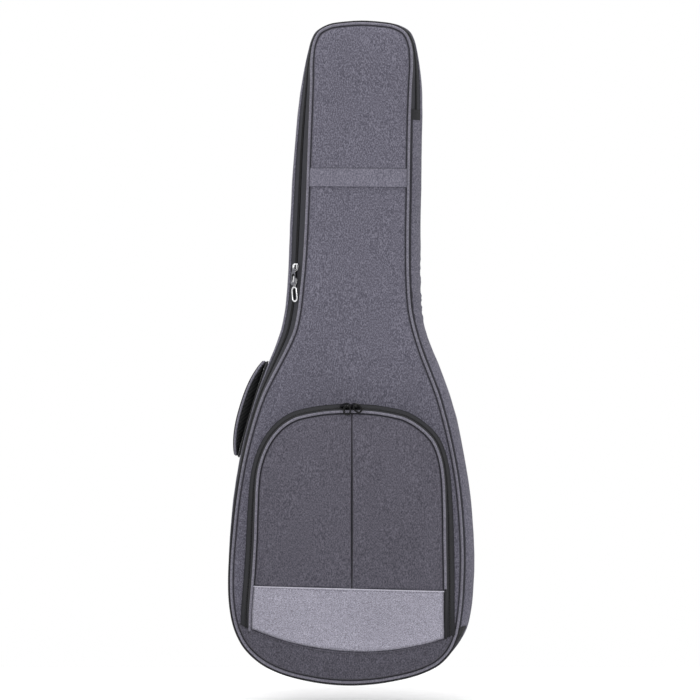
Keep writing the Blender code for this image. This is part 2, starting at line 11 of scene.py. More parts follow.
import bmesh
import bpy
import numpy as np
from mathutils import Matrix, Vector

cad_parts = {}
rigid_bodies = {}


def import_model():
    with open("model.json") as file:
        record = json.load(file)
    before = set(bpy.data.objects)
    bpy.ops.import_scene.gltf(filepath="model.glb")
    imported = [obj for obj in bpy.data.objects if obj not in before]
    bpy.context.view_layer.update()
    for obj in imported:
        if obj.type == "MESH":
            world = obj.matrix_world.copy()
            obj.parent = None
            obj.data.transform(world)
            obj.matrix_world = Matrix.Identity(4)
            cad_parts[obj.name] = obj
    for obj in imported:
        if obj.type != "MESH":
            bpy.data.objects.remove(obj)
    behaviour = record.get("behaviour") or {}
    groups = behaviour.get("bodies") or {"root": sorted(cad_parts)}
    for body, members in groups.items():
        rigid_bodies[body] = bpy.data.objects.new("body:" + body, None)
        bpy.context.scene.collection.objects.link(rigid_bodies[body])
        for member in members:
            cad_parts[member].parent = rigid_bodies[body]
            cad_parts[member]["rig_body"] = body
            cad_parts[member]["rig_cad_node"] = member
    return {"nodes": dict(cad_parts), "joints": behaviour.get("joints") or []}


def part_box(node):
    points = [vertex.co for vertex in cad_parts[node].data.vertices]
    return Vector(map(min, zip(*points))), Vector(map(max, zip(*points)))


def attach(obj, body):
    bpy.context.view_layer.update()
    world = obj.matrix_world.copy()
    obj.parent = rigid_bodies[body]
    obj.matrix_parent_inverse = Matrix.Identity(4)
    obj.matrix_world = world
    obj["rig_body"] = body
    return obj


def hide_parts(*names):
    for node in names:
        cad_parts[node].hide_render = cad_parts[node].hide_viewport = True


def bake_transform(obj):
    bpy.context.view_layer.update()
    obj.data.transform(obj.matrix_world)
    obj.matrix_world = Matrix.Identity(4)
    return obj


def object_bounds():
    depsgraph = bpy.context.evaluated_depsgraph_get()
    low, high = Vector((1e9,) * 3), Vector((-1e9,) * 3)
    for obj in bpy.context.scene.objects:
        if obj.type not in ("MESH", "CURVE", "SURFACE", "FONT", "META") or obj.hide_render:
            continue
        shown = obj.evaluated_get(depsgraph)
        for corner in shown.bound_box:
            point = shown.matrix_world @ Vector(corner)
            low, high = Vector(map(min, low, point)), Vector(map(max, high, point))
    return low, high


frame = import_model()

cad_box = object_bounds()
nodes = frame["nodes"]

# Real sizes
CLOTH = 0.0015          # heather polyester laminated to its backing
PIPING_R = 0.0022       # the cloth-covered cord round the cover and the back
POCKET_PIPING_R = 0.0021
PANEL_EDGE = 0.0030     # from a piping's centre line to the panel's sewn edge
BACK_EDGE = 0.0060      # the same, from the widest line of the gusset to the back panel
STATIONS = 6            # points made between two points of a CAD outline
COIL_PITCH = 0.0024     # real nylon coil is 1.5 mm; drawn a little coarser so that it shows
ZIP_TOP = 23 * 2 * STATIONS     # where the zip ends on the right, and where it starts again
ZIP_LOW = 34 * 2 * STATIONS
CENTRE_X = -0.018
FOOT_Z = -1.022
PLEAT_X = -0.0150
ACCENT_TOP = 0.1558     # height of the pale band's upper edge at the bag's middle
BAND_SLOPE = 0.026      # and how fast that edge falls towards the right
SCUFF_CURVE = (0.054, -0.0428, 1.188)   # height of the foot panel's edge, and how it bends
POCKET_LEAST, POCKET_MOST = 0.004, 0.024
HEAVY_CLOTH = 0.0016
LINING = 0.0010
SLIDER_SHIFT = 0.0012   # the pulls hang a little to the bag's side of the zip
LOOP_LEAN = 0.17        # and the wire loop swings towards the bag
RIB_PITCH = 0.0042      # ribs of the handle's grip
WEBBING_WIDE = 0.025
AIR_PRESSURE = 4.0      # blows up a foam pad's cover while its cloth is simulated
CLOTH_STEPS = 20
FLOOR_DROP = 0.035      # the bag hangs clear of the floor
CAMERA_AWAY = 5.0
CAMERA_HEIGHT = 0.536
VIEW_WIDTH = 1.12       # metres seen across at the bag's front
SENSOR = 36.0
FRONTWARDS, BACKWARDS = (0, -1, 0), (0, 1, 0)

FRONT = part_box("front_panel")[0].y
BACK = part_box("back_panel")[1].y
WALL_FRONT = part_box("gusset_panel")[0].y
WALL_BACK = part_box("gusset_panel")[1].y
PIPING_Y = sum(v.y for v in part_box("front_piping")) / 2
BACK_PIPING_Y = sum(v.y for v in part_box("back_piping")) / 2
BEVEL_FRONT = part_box("main_zip_tape_front")[0].y + 0.0006
BEVEL_BACK = WALL_FRONT - 0.0020


# Lines taken from the CAD nodes

def corners_of(mesh):
    return np.array([v.co for v in mesh.vertices])


def merged(node):
    """A CAD node's corners, merged, and its faces."""
    mesh = nodes[node].data
    points = corners_of(mesh)
    kept, index = np.unique(np.round(points, 6), axis=0, return_inverse=True)
    index = index.reshape(-1)
    return kept, [[index[v] for v in face.vertices] for face in mesh.polygons]


def rim(node, front):
    """(x, z) outline of a flat node's face, clockwise from the middle of its foot."""
    points, faces = merged(node)
    y = points[:, 1].min() if front else points[:, 1].max()
    flat = abs(points[:, 1] - y) < 1e-5
    used = {}
    for face in faces:
        if all(flat[v] for v in face):
            for a, b in zip(face, face[1:] + face[:1]):
                key = (min(a, b), max(a, b))
                used[key] = used.get(key, 0) + 1
    links = {}
    for (a, b), times in used.items():
        if times == 1:
            links.setdefault(a, []).append(b)
            links.setdefault(b, []).append(a)
    start = min(links, key=lambda v: abs(points[v, 0] - CENTRE_X) + 4 * (points[v, 2] - FOOT_Z))
    loop = [start, min(links[start], key=lambda v: points[v, 0])]
    while len(loop) < len(links):
        loop.append(next(v for v in links[loop[-1]] if v != loop[-2]))
    return points[loop][:, [0, 2]]


def centre_line(node, low_end):
    """Middle line of a swept node, from the end nearest to a point."""
    points, faces = merged(node)
    near = {}
    for face in faces:
        for a in face:
            near.setdefault(a, set()).update(face)
    first = np.argsort(np.linalg.norm(points - low_end, axis=1))[:6]
    seen, ring, line = set(first), set(first), []
    while ring:
        line.append(points[list(ring)].mean(axis=0))
        ring = set().union(*(near[v] for v in ring)) - seen
        seen |= ring
    return np.array(line)


def smooth(points, closed, steps=STATIONS):
    """Curve through the points, with this many points for each."""
    count = len(points)
    if closed:
        padded = np.vstack([points[-1:], points, points[:2]])
    else:
        padded = np.vstack([2 * points[0] - points[1], points, 2 * points[-1] - points[-2]])
    made = []
    for i in range(count if closed else count - 1):
        a, b, c, d = padded[i:i + 4]
        for step in range(steps):
            t = step / steps
            made.append(0.5 * (2 * b + (c - a) * t + (2 * a - 5 * b + 4 * c - d) * t * t
                               + (3 * b - a - 3 * c + d) * t ** 3))
    if not closed:
        made.append(points[-1])
    return np.array(made)


def unit(vectors):
    """One vector or many, brought to length one."""
    return vectors / np.maximum(np.linalg.norm(vectors, axis=-1, keepdims=True), 1e-12)


def course(line, closed):
    """The way that a line, or a grid's rows, run at each point."""
    if closed:
        return np.roll(line, -1, axis=0) - np.roll(line, 1, axis=0)
    return np.gradient(line, axis=0)


def inset(loop, distance, closed=True):
    """The line moved to its own right, which is inwards on a clockwise outline."""
    along = unit(course(loop, closed))
    return loop + np.reshape(distance, (-1, 1)) * np.column_stack([along[:, 1], -along[:, 0]])


def lift(flat, y):
    """A line or grid of (x, z) points stood up at the depth y."""
    return np.stack([flat[..., 0], np.broadcast_to(y, flat.shape[:-1]), flat[..., 1]], axis=-1)


def spaced(line, count):
    """The line cut into equal lengths."""
    run = np.concatenate([[0], np.cumsum(np.linalg.norm(np.diff(line, axis=0), axis=1))])
    at = np.linspace(0, run[-1], count)
    return np.column_stack([np.interp(at, run, line[:, k]) for k in range(line.shape[1])])


def length_of(line):
    """A line's length."""
    return float(np.linalg.norm(np.diff(line, axis=0), axis=1).sum())


def mix(a, b, share):
    """The value this share of the way from a to b."""
    return a + (b - a) * share


def ease(share):
    """0 to 1 with a soft start and a soft end."""
    share = np.clip(share, 0, 1)
    return share * share * (3 - 2 * share)


def ripples(points, size, seed):
    """Soft random waves of about one unit high, the same each run."""
    draw = np.random.default_rng(seed)
    total = 0
    for _ in range(7):
        turn = unit(draw.normal(size=points.shape[-1])) * draw.uniform(0.6, 1.5)
        total = total + np.sin(2 * math.pi * (points @ turn) / size + draw.uniform(0, 6.28))
    return total / 3.5


front_line = smooth(inset(rim("front_panel", True), -PANEL_EDGE), True)
wide_line = smooth(inset(rim("back_panel", False), -BACK_EDGE), True)
TOTAL = len(front_line)
TOP = int(18.5 * 2 * STATIONS)
pocket_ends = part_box("pocket_piping")
pocket_3d = smooth(centre_line("pocket_piping", (pocket_ends[0].x, FRONT, pocket_ends[0].z)), False)
pocket_line = pocket_3d[:, [0, 2]]
POCKET_TOP = int(np.argmax(pocket_line[:, 1]))


def pocket_foot(line, more):
    """The pocket's line run on below both its ends, under the scuff panel."""
    first = line[0] + unit(line[0] - line[3]) * more
    last = line[-1] + unit(line[-1] - line[-4]) * more
    return np.vstack([first, line, last])


def edge_distance(points, line, closed=True):
    """Distance of (x, z) points from a line."""
    a = line
    b = np.roll(line, -1, axis=0) if closed else line[1:]
    a = a[:len(b)]
    flat = points.reshape(-1, 2)
    best = np.full(len(flat), 1e9)
    batch = 4000            # keeps the table of points by stretches small
    for start in range(0, len(flat), batch):
        p = flat[start:start + batch, None]
        t = np.clip(((p - a) * (b - a)).sum(-1) / ((b - a) ** 2).sum(-1), 0, 1)
        best[start:start + batch] = np.linalg.norm(p - a - t[..., None] * (b - a), axis=-1).min(1)
    return best.reshape(points.shape[:-1])


def height(z):
    """Height above the bag's foot."""
    return z - FOOT_Z


def pocket_stand(z):
    """How far the pocket's face stands in front of the cover: least at its hinge."""
    return POCKET_LEAST + (POCKET_MOST - POCKET_LEAST) * ease((height(z) - 0.061) / 0.094)


def scuff_height(x):
    """Height of the scuff panel's curved upper edge."""
    away = x - CENTRE_X
    return SCUFF_CURVE[0] + SCUFF_CURVE[1] * away + SCUFF_CURVE[2] * away * away


def band_top(x):
    """z of the pale band's upper edge."""
    return FOOT_Z + ACCENT_TOP - BAND_SLOPE * (x - CENTRE_X)


def near_edge(width, edges, most):
    """Shares of a row's width for columns that lie these distances from its side."""
    return np.minimum(np.array(edges) / max(width, 1e-6), most * np.array(edges) / edges[-1])


# Finishes

def tone(colour):
    """An sRGB hex colour as linear light."""
    channels = [int(colour[i:i + 2], 16) / 255 for i in (0, 2, 4)]
    return [c / 12.92 if c <= 0.04045 else ((c + 0.055) / 1.055) ** 2.4 for c in channels] + [1]


def node(tree, kind, settings=None, stops=(), **inputs):
    """Adds a shader node with its settings, its colour stops and its inputs.

    An input is given by its label, or by an underscore and its number, as a link or a value.
    """
    made = tree.nodes.new(kind)
    for key, value in (settings or {}).items():
        setattr(made, key, value)
    if stops:
        bar = made.color_ramp.elements
        for element, (position, colour) in zip(bar, (stops[0], stops[-1])):
            element.position, element.color = position, tone(colour)
        for position, colour in stops[1:-1]:
            bar.new(position).color = tone(colour)
    for key, value in inputs.items():
        socket = made.inputs[int(key[1:])] if key[0] == "_" else made.inputs[key.replace("_", " ")]
        if isinstance(value, bpy.types.NodeSocket):
            tree.links.new(value, socket)
        else:
            socket.default_value = value
    return made


def finish(name, **shader):
    """A new material, its tree, its shader and a coordinate in metres on the bag."""
    made = bpy.data.materials.new(name)
    made.use_nodes = True
    tree = made.node_tree
    body = tree.nodes["Principled BSDF"]
    for key, value in shader.items():
        body.inputs[key.replace("_", " ")].default_value = value
    place = node(tree, "ShaderNodeTexCoord").outputs["Object"]
    return made, tree, body, place


def dress(tree, body, colour, relief, strength, depth):
    """Gives a shader its colour, and its relief in metres from a pattern."""
    tree.links.new(colour, body.inputs["Base Color"])
    bump = node(tree, "ShaderNodeBump", Strength=strength, Distance=depth, Height=relief)
    tree.links.new(bump.outputs[0], body.inputs["Normal"])


def woven(name, dark, middle, light, slub=1.7):
    """Heathered polyester canvas: two shades of yarn in a plain weave with short upright slubs.

    The real yarn is 0.4 mm. It is drawn at 1 mm so that its flecks show at arm's length. The
    seam attribute darkens cloth that is drawn down into a seam: painted shade, mixed into the
    colour.
    """
    thread = 0.0010
    made, tree, body, place = finish(name, Roughness=0.9, Sheen_Weight=0.12, Sheen_Roughness=0.5,
                                     Specular_IOR_Level=0.25)
    stretch = node(tree, "ShaderNodeMapping", Vector=place, Scale=(1, 1, 1 / slub))
    fleck = node(tree, "ShaderNodeTexNoise", Vector=stretch.outputs[0], Scale=0.62 / thread,
                 Detail=2.0, Roughness=0.7)
    yarn = node(tree, "ShaderNodeValToRGB", stops=((0.34, dark), (0.5, middle), (0.66, light)),
                Fac=fleck.outputs[0])
    patch = node(tree, "ShaderNodeTexNoise", Vector=place, Scale=9.0, Detail=2.0)
    shade = node(tree, "ShaderNodeMapRange", Value=patch.outputs[0], _1=0.3, _2=0.7, _3=0.95,
                 _4=1.05)
    cloth = node(tree, "ShaderNodeVectorMath", {"operation": "SCALE"}, _0=yarn.outputs[0],
                 Scale=shade.outputs[0])
    # Painted shade: the seam attribute mixes the cloth's colour towards a near-black tone.
    fold = node(tree, "ShaderNodeAttribute", {"attribute_name": "seam"})
    tint = node(tree, "ShaderNodeMix", {"data_type": "RGBA"}, _0=fold.outputs["Fac"],
                _6=cloth.outputs[0], _7=tone("1c1c22"))
    warp, weft = [node(tree, "ShaderNodeTexWave", {"bands_direction": way}, Vector=place,
                       Scale=0.31 / thread, Distortion=1.2, Detail=1.0).outputs[1]
                  for way in ("X", "Z")]
    cross = node(tree, "ShaderNodeMath", {"operation": "MULTIPLY"}, _0=warp, _1=weft)
    relief = node(tree, "ShaderNodeMath", {"operation": "ADD"}, _0=cross.outputs[0],
                  _1=fleck.outputs[0])
    dress(tree, body, tint.outputs[2], relief.outputs[0], 0.30, 0.0004)
    return made


def ribbed(name, dark, light, pitch, slant=0.0, depth=0.0004):
    """Narrow woven tape or webbing: ribs across a coordinate, with a fine yarn grain; its colour is
    painted lighter on the ribs and darker between them, as light and shade.
    """
    made, tree, body, place = finish(name, Roughness=0.8, Sheen_Weight=0.1, Sheen_Roughness=0.5,
                                     Specular_IOR_Level=0.3)
    turned = node(tree, "ShaderNodeMapping", Vector=place, Rotation=(0, slant, 0))
    rib = node(tree, "ShaderNodeTexWave", {"bands_direction": "Z"}, Vector=turned.outputs[0],
               Scale=0.31 / pitch, Distortion=0.4, Detail=1.0)
    grain = node(tree, "ShaderNodeTexNoise", Vector=place, Scale=700.0, Detail=3.0)
    both = node(tree, "ShaderNodeMath", {"operation": "MULTIPLY_ADD"}, _0=grain.outputs[0],
                _1=0.45, _2=rib.outputs[1])
    colour = node(tree, "ShaderNodeValToRGB", stops=((0.1, dark), (1.0, light)),
                  Fac=both.outputs[0])
    dress(tree, body, colour.outputs[0], both.outputs[0], 0.6, depth)
    return made


def napped(name, dark, light):
    """Brushed velour lining: a short soft pile, darker where it lies away from the light."""
    made, tree, body, place = finish(name, Roughness=1.0, Sheen_Weight=0.6, Sheen_Roughness=0.35,
                                     Specular_IOR_Level=0.1)
    pile = node(tree, "ShaderNodeTexNoise", Vector=place, Scale=900.0, Detail=2.0)
    lie = node(tree, "ShaderNodeTexNoise", Vector=place, Scale=28.0, Detail=3.0)
    both = node(tree, "ShaderNodeMath", {"operation": "MULTIPLY_ADD"}, _0=pile.outputs[0], _1=0.4,
                _2=lie.outputs[0])
    colour = node(tree, "ShaderNodeValToRGB", stops=((0.45, dark), (0.95, light)),
                  Fac=both.outputs[0])
    dress(tree, body, colour.outputs[0], pile.outputs[0], 0.4, 0.0006)
    return made


def hard(name, dark, light, rough, metal=0.0, grain=260.0, shine=0.5):
    """A moulded or plated surface: faint mottling, and roughness that varies with handling."""
    wear = 0.25
    made, tree, body, place = finish(name, Metallic=metal, Specular_IOR_Level=shine)
    mottle = node(tree, "ShaderNodeTexNoise", Vector=place, Scale=grain, Detail=4.0)
    colour = node(tree, "ShaderNodeValToRGB", stops=((0.35, dark), (0.65, light)),
                  Fac=mottle.outputs[0])
    spread = node(tree, "ShaderNodeMapRange", Value=mottle.outputs[0], _1=0.3, _2=0.7,
                  _3=rough * (1 - wear), _4=rough * (1 + wear))
    tree.links.new(spread.outputs[0], body.inputs["Roughness"])
    dress(tree, body, colour.outputs[0], mottle.outputs[0], 0.15, 0.0001)
    return made


# Colours are those of the real cloths in plain daylight. Melange canvas looks like a fine grey
# speckle with a cool cast and no shine; each panel's cloth is a shade of it.
heather = woven("heather_polyester", "3f3e49", "575561", "73717e")
# The pocket's canvas is a darker copy of the cover's, darkened partly as painted shade for the
# light falling off down the bag; the neck band's is a shade lighter than the cover's.
pocket_cloth = woven("heather_polyester_pocket", "36343d", "4c4a54", "625f6a")
band_cloth = woven("heather_polyester_neck_band", "4e4c58", "63616d", "797784")
# Pale canvas with shorter slubs: a light, even band. Its rolled edge takes a lighter copy of it:
# a painted highlight where the edge faces the light.
accent_cloth = woven("heather_polyester_pale", "67656f", "868490", "a5a3b0", slub=0.8)
accent_painted_highlight = woven("heather_polyester_pale_painted_highlight", "94929f", "a6a4b0", "b8b6c1", slub=0.8)
# Heavier canvas takes more dye: the foot is the darkest cloth.
scuff_cloth = woven("heather_polyester_heavy", "2f2e36", "43414a", "595762")
# Bias-cut canvas stretched over a cord catches light along its crown; it is drawn as a lighter
# copy of the cover's canvas, a painted highlight.
piping_painted_highlight = woven("piping_polyester_painted_highlight", "56545f", "686671", "7c7a85", slub=1.2)
# Dense dyed tape is nearly black and dull, with fine ribs across it.
zip_tape = ribbed("zip_tape_polyester", "1c1c21", "333339", 0.0016)
pocket_tape = ribbed("zip_tape_polyester_fine", "0e0e12", "202025", 0.0014)
# Painted shade: a near-black copy of the tape, seen in the gap behind the coil.
zip_gap_shade = ribbed("zip_gap_painted_shade", "08080a", "131316", 0.0016)
# Extruded nylon coil: black, with a small soft glint on each turn.
zip_coil = hard("zip_coil_nylon", "08080a", "151518", 0.45, shine=0.3)
# Woven polypropylene shows ribs 1.8 mm apart and a faint waxy sheen.
webbing = ribbed("webbing_polypropylene", "131315", "26272a", 0.0018)
# The grip's ribs run aslant and stand up, so light and shade stripe it; the stripes are also
# painted into its colour.
handle_rib = ribbed("handle_grip_ribbed", "0d0e10", "2b2d31", RIB_PITCH, slant=0.7, depth=0.0008)
# Folded nylon binding draws a thin black line round an edge.
edge_tape = ribbed("edge_binding_nylon", "0e0e10", "1c1c20", 0.0014)
# Brushed pile drinks light, and looks cloudy where a hand has passed: painted shade where the
# pile lies away from the light.
plush = napped("lining_velour", "1c1d21", "303238")
foam_cloth = napped("lining_brushed_pad", "202125", "34363c")
# Spun thread is matt; the black one sinks into its seam and the grey one shows.
thread_black = hard("sewing_thread_polyester", "17171b", "2a2a30", 0.7)
thread_grey = hard("sewing_thread_grey", "4a4953", "5c5b66", 0.75)
# Nickel on die-cast zinc: bright on the sliders, and brushed to a grey satin on the plate.
nickel = hard("zinc_nickel_plated", "c9c9cc", "ececee", 0.20, metal=1.0)
nickel_brushed = hard("zinc_nickel_satin", "66666d", "828289", 0.38, metal=1.0)
# Stoved black lacquer hides the metal under a low gloss.
black_zinc = hard("zinc_black_lacquer", "040405", "0a0a0b", 0.34, shine=0.22)
# Moulded acetal is black and slightly waxy.
acetal = hard("buckle_acetal", "101113", "1b1c1f", 0.42, grain=500.0)


# Making meshes

def add(name, points, faces, body, material, stands_for=(), shade=None, sharp=40):
    """A mesh piece that rides on a body, or on none when body is None.

    A piece that stands for CAD nodes hides them.
    """
    mesh = bpy.data.meshes.new(name)
    mesh.from_pydata([tuple(p) for p in points], [], faces)
    shape = bmesh.new()
    shape.from_mesh(mesh)
    seam = shape.verts.layers.float.new("seam")
    if shade is not None:
        for vertex, value in zip(shape.verts, shade):
            vertex[seam] = float(value)
    bmesh.ops.remove_doubles(shape, verts=shape.verts, dist=1e-6)
    bmesh.ops.dissolve_degenerate(shape, edges=shape.edges, dist=1e-7)
    bmesh.ops.recalc_face_normals(shape, faces=shape.faces)
    shape.to_mesh(mesh)
    shape.free()
    mesh.shade_smooth()
    mesh.set_sharp_from_angle(angle=math.radians(sharp))
    mesh.materials.append(material)
    obj = bpy.data.objects.new(name, mesh)
    bpy.context.scene.collection.objects.link(obj)
    if body:
        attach(obj, body)
    if stands_for:
        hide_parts(*stands_for)
    return obj


def grid_normals(grid, wrap):
    """Unit normals of a grid; wrap says whether its rows close on themselves."""
    normal = np.cross(course(grid, wrap), np.gradient(grid, axis=1))
    weak = np.linalg.norm(normal, axis=2) < 1e-12
    normal = unit(normal)
    if weak.any():
        normal[weak] = unit(normal[~weak].mean(axis=0))
    return normal


def slab(grid, thickness, towards, wrap=False, shade=None):
    """Points, faces and shade of a cloth: the grid is its outside, which looks towards a way."""
    rows, cols, _ = grid.shape
    normal = grid_normals(grid, wrap)
    if (normal * np.asarray(towards)).sum() < 0:
        normal = -normal
    points = np.vstack([grid.reshape(-1, 3), (grid - normal * thickness).reshape(-1, 3)])
    under = rows * cols
    faces = []
    for i in range(rows if wrap else rows - 1):
        a, b = i * cols, (i + 1) % rows * cols
        for j in range(cols - 1):
            faces.append((a + j, b + j, b + j + 1, a + j + 1))
            faces.append((under + a + j, under + a + j + 1, under + b + j + 1, under + b + j))
        for j in (0, cols - 1):
            faces.append((a + j, b + j, under + b + j, under + a + j))
    if not wrap:
        for i in (0, rows - 1):
            for j in range(cols - 1):
                a = i * cols + j
                faces.append((a, a + 1, under + a + 1, under + a))
    values = np.zeros(2 * under)
    if shade is not None:
        values[:under] = np.asarray(shade).ravel()
    return points, faces, values


def cloth(name, grid, thickness, towards, body, material, wrap=False, shade=None, **more):
    """A piece of cloth or a pad's cover, made from the grid of its outside."""
    points, faces, values = slab(grid, thickness, towards, wrap, shade)
    return add(name, points, faces, body, material, shade=values, **more)


def tube_mesh(path, radius, sides, closed, up=(0, 1, 0), flat=1.0):
    """Round or flattened tube along a path; radius is one number or one for each point."""
    path = np.asarray(path, float)
    count = len(path)
    along = unit(course(path, closed))
    side = unit(np.cross(along, np.broadcast_to(np.asarray(up, float), along.shape)))
    over = np.cross(side, along)
    radius = np.broadcast_to(radius, count)[:, None]
    rings = []
    for k in range(sides):
        turn = 2 * math.pi * (k + 0.5) / sides
        rings.append(path + radius * (math.cos(turn) * side + flat * math.sin(turn) * over))
    points = np.stack(rings, axis=1).reshape(-1, 3)
    faces = []
    for i in range(count if closed else count - 1):
        a, b = i * sides, (i + 1) % count * sides
        for k in range(sides):
            j = (k + 1) % sides
            faces.append((a + k, a + j, b + j, b + k))
    if not closed:
        faces.append(tuple(range(sides)))
        faces.append(tuple((count - 1) * sides + k for k in range(sides)))
    return points, faces


def tube(name, path, radius, body, material, sides=10, closed=False, up=(0, 1, 0), flat=1.0,
         **more):
    points, faces = tube_mesh(path, radius, sides, closed, up, flat)
    return add(name, points, faces, body, material, **more)


def joined(parts):
    """Several meshes as one."""
    points, faces, start = [], [], 0
    for some, more in parts:
        points.append(np.asarray(some))
        faces += [tuple(start + v for v in face) for face in more]
        start += len(some)
    return np.vstack(points), faces


def stitches(name, path, body, material, out, length=0.0032, gap=0.0016):
    """A row of lockstitches along a path; out is the way that the cloth faces."""
    radius = 0.00042
    steps = max(int(length_of(path) / (length + gap)), 1)
    line = spaced(np.asarray(path, float), steps * 6 + 1)
    parts = []
    for k in range(steps):
        piece = line[k * 6:k * 6 + 5]
        swell = np.array([0.3, 0.9, 1.0, 0.9, 0.3]) * radius
        sink = np.array([0.0, 0.8, 1.0, 0.8, 0.0])[:, None] * radius * 0.5
        parts.append(tube_mesh(piece + sink * np.asarray(out), swell, 5, False, up=out))
    points, faces = joined(parts)
    return add(name, points, faces, body, material, sharp=80)


# Lens-shaped grids between the left and right of an outline

def lens(outline, top, rows, fractions, edges):
    """(x, z) grid inside an outline; fractions spread the middle and edges lie near its sides."""
    left = spaced(outline[:top + 1], rows)
    right = spaced(np.vstack([outline[top:], outline[:1]])[::-1], rows)
    width = np.linalg.norm(right - left, axis=1)
    grid = []
    for a, b, across in zip(left, right, width):
        near = near_edge(across, edges, 0.5)
        inner = near[-1] + (1 - 2 * near[-1]) * np.linspace(0, 1, fractions)[1:-1]
        shares = np.concatenate([near, inner, 1 - near[::-1]])[:, None]
        grid.append(a + (b - a) * shares)
    return np.array(grid)


# Columns lie close together beside a seam, where the cloth dips.
EDGES = (0.0, 0.0007, 0.0014, 0.0021, 0.003, 0.004, 0.0055, 0.0075, 0.010, 0.014, 0.020)


def cover_y(points, distance):
    """Depth of the cover's padded face at (x, z) points that lie this far inside its piping."""
    dip = 0.0026 * (1 - ease((distance - 0.0030) / 0.0030))
    puff = 0.0034 * (1 - np.exp(-np.maximum(distance - 0.0045, 0) / 0.013))
    calm = ease((distance - 0.004) / 0.03)
    wave = 0.0007 * ripples(points, 0.16, 3) + 0.00035 * ripples(points, 0.055, 4)
    return FRONT + dip - puff - calm * wave


def seam_shade(distance, start, end, most=0.85):
    """Shade of the cloth drawn down into a seam between these distances from its piping."""
    fade = 0.0012
    return most * ease((distance - start + fade) / fade) * ease((end + fade - distance) / fade)


def low_shade(z):
    """0 on the neck to 1 on the belly: painted shade, a little darker lower down as the light falls
    off.
    """
    return 1 - ease((height(z) - 0.40) / 0.22)


# Cover

def cover_pieces():
    """The cover's padded panel, its piping, its lining and the binding between them."""
    outline = inset(front_line, 0.0010)
    grid = lens(outline, TOP, 250, 46, EDGES)
    distance = edge_distance(grid, front_line)
    face = lift(grid, cover_y(grid, distance))
    # Painted shade: dark where the cloth dips to its piping, and a little darker towards the belly.
    shade = np.maximum(seam_shade(distance, 0.0024, 0.0042), 0.16 * low_shade(grid[..., 1]))
    panel = cloth("front_panel_pad", face, CLOTH, FRONTWARDS, "front_cover", heather, shade=shade,
                  stands_for=("front_panel", "front_padding"))
    pipe = lift(front_line, PIPING_Y)
    pipe[:, 1] += 0.0003 * ripples(pipe, 0.09, 8)
    swell = PIPING_R * (1 + 0.03 * ripples(pipe, 0.02, 9))
    tube("front_piping_cord", pipe, swell, "front_cover", piping_painted_highlight, 12, True,
         stands_for=("front_piping",))
    inner_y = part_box("front_lining")[1].y
    lining = lens(inset(front_line, 0.0040), TOP, 120, 24, EDGES[::2])
    far = edge_distance(lining, front_line)
    depth = inner_y - 0.0030 * (1 - ease((far - 0.004) / 0.010)) + 0.0004 * ripples(lining, .12, 5)
    face = lift(lining, depth)
    piece = cloth("cover_lining_velour", face, LINING, BACKWARDS, "front_cover", plush,
                  stands_for=("front_lining",))
    rails = [lift(inset(front_line, inwards), y) for inwards, y in
             ((0.0012, BEVEL_FRONT + 0.0006), (0.0006, inner_y - 0.0072),
              (0.0010, inner_y - 0.0040), (0.0026, inner_y - 0.0014),
              (0.0052, inner_y - 0.0004), (0.0080, inner_y + 0.0002))]
    cloth("cover_edge_binding", np.stack(rails, axis=1), 0.0008, BACKWARDS, "front_cover",
          edge_tape, wrap=True)


def neck_band():
    """Plain band sewn across the neck at its top and sides, open below."""
    low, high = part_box("neck_band")[0].z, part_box("neck_band")[1].z
    left = front_line[:TOP + 1]
    right = front_line[TOP:][::-1]
    tilt = 0.0015           # the band is sewn on a little lower at the right
    across = np.linspace(0.016, 1 - 0.016, 60)[:, None]
    rows = []
    for share in np.concatenate([[0, 0.012, 0.03, 0.06], np.linspace(0.1, 0.9, 9),
                                 [0.94, 0.97, 0.988, 1.0]]):
        z_left = mix(low + tilt, high, share)
        z_right = z_left - tilt
        a = np.array([np.interp(z_left, left[:, 1], left[:, 0]), z_left])
        b = np.array([np.interp(z_right, right[:, 1], right[:, 0]), z_right])
        rows.append(mix(a, b, across))
    grid = np.array(rows)
    distance = edge_distance(grid, front_line)
    share = (grid[..., 1] - grid[0, :, 1]) / (grid[-1, :, 1] - grid[0, :, 1])
    stand = 0.0017 + 0.0008 * (1 - ease(share / 0.5)) - 0.0010 * ease((share - 0.95) / 0.05)
    y = cover_y(grid, distance) - stand - 0.0005 * ripples(grid, 0.05, 12) * (1 - share)
    face = lift(grid, y)
    # Painted shade along the band's top, where it dips to its stitching.
    shade = 0.75 * ease((share - 0.955) / 0.045)
    piece = cloth("neck_band_cloth", face, 0.0013, FRONTWARDS, "front_cover", band_cloth,
                  shade=shade, stands_for=("neck_band",))
    line = face[-3] + (0, -0.0002, 0)
    stitches("neck_band_stitching", line, "front_cover", thread_grey, FRONTWARDS)


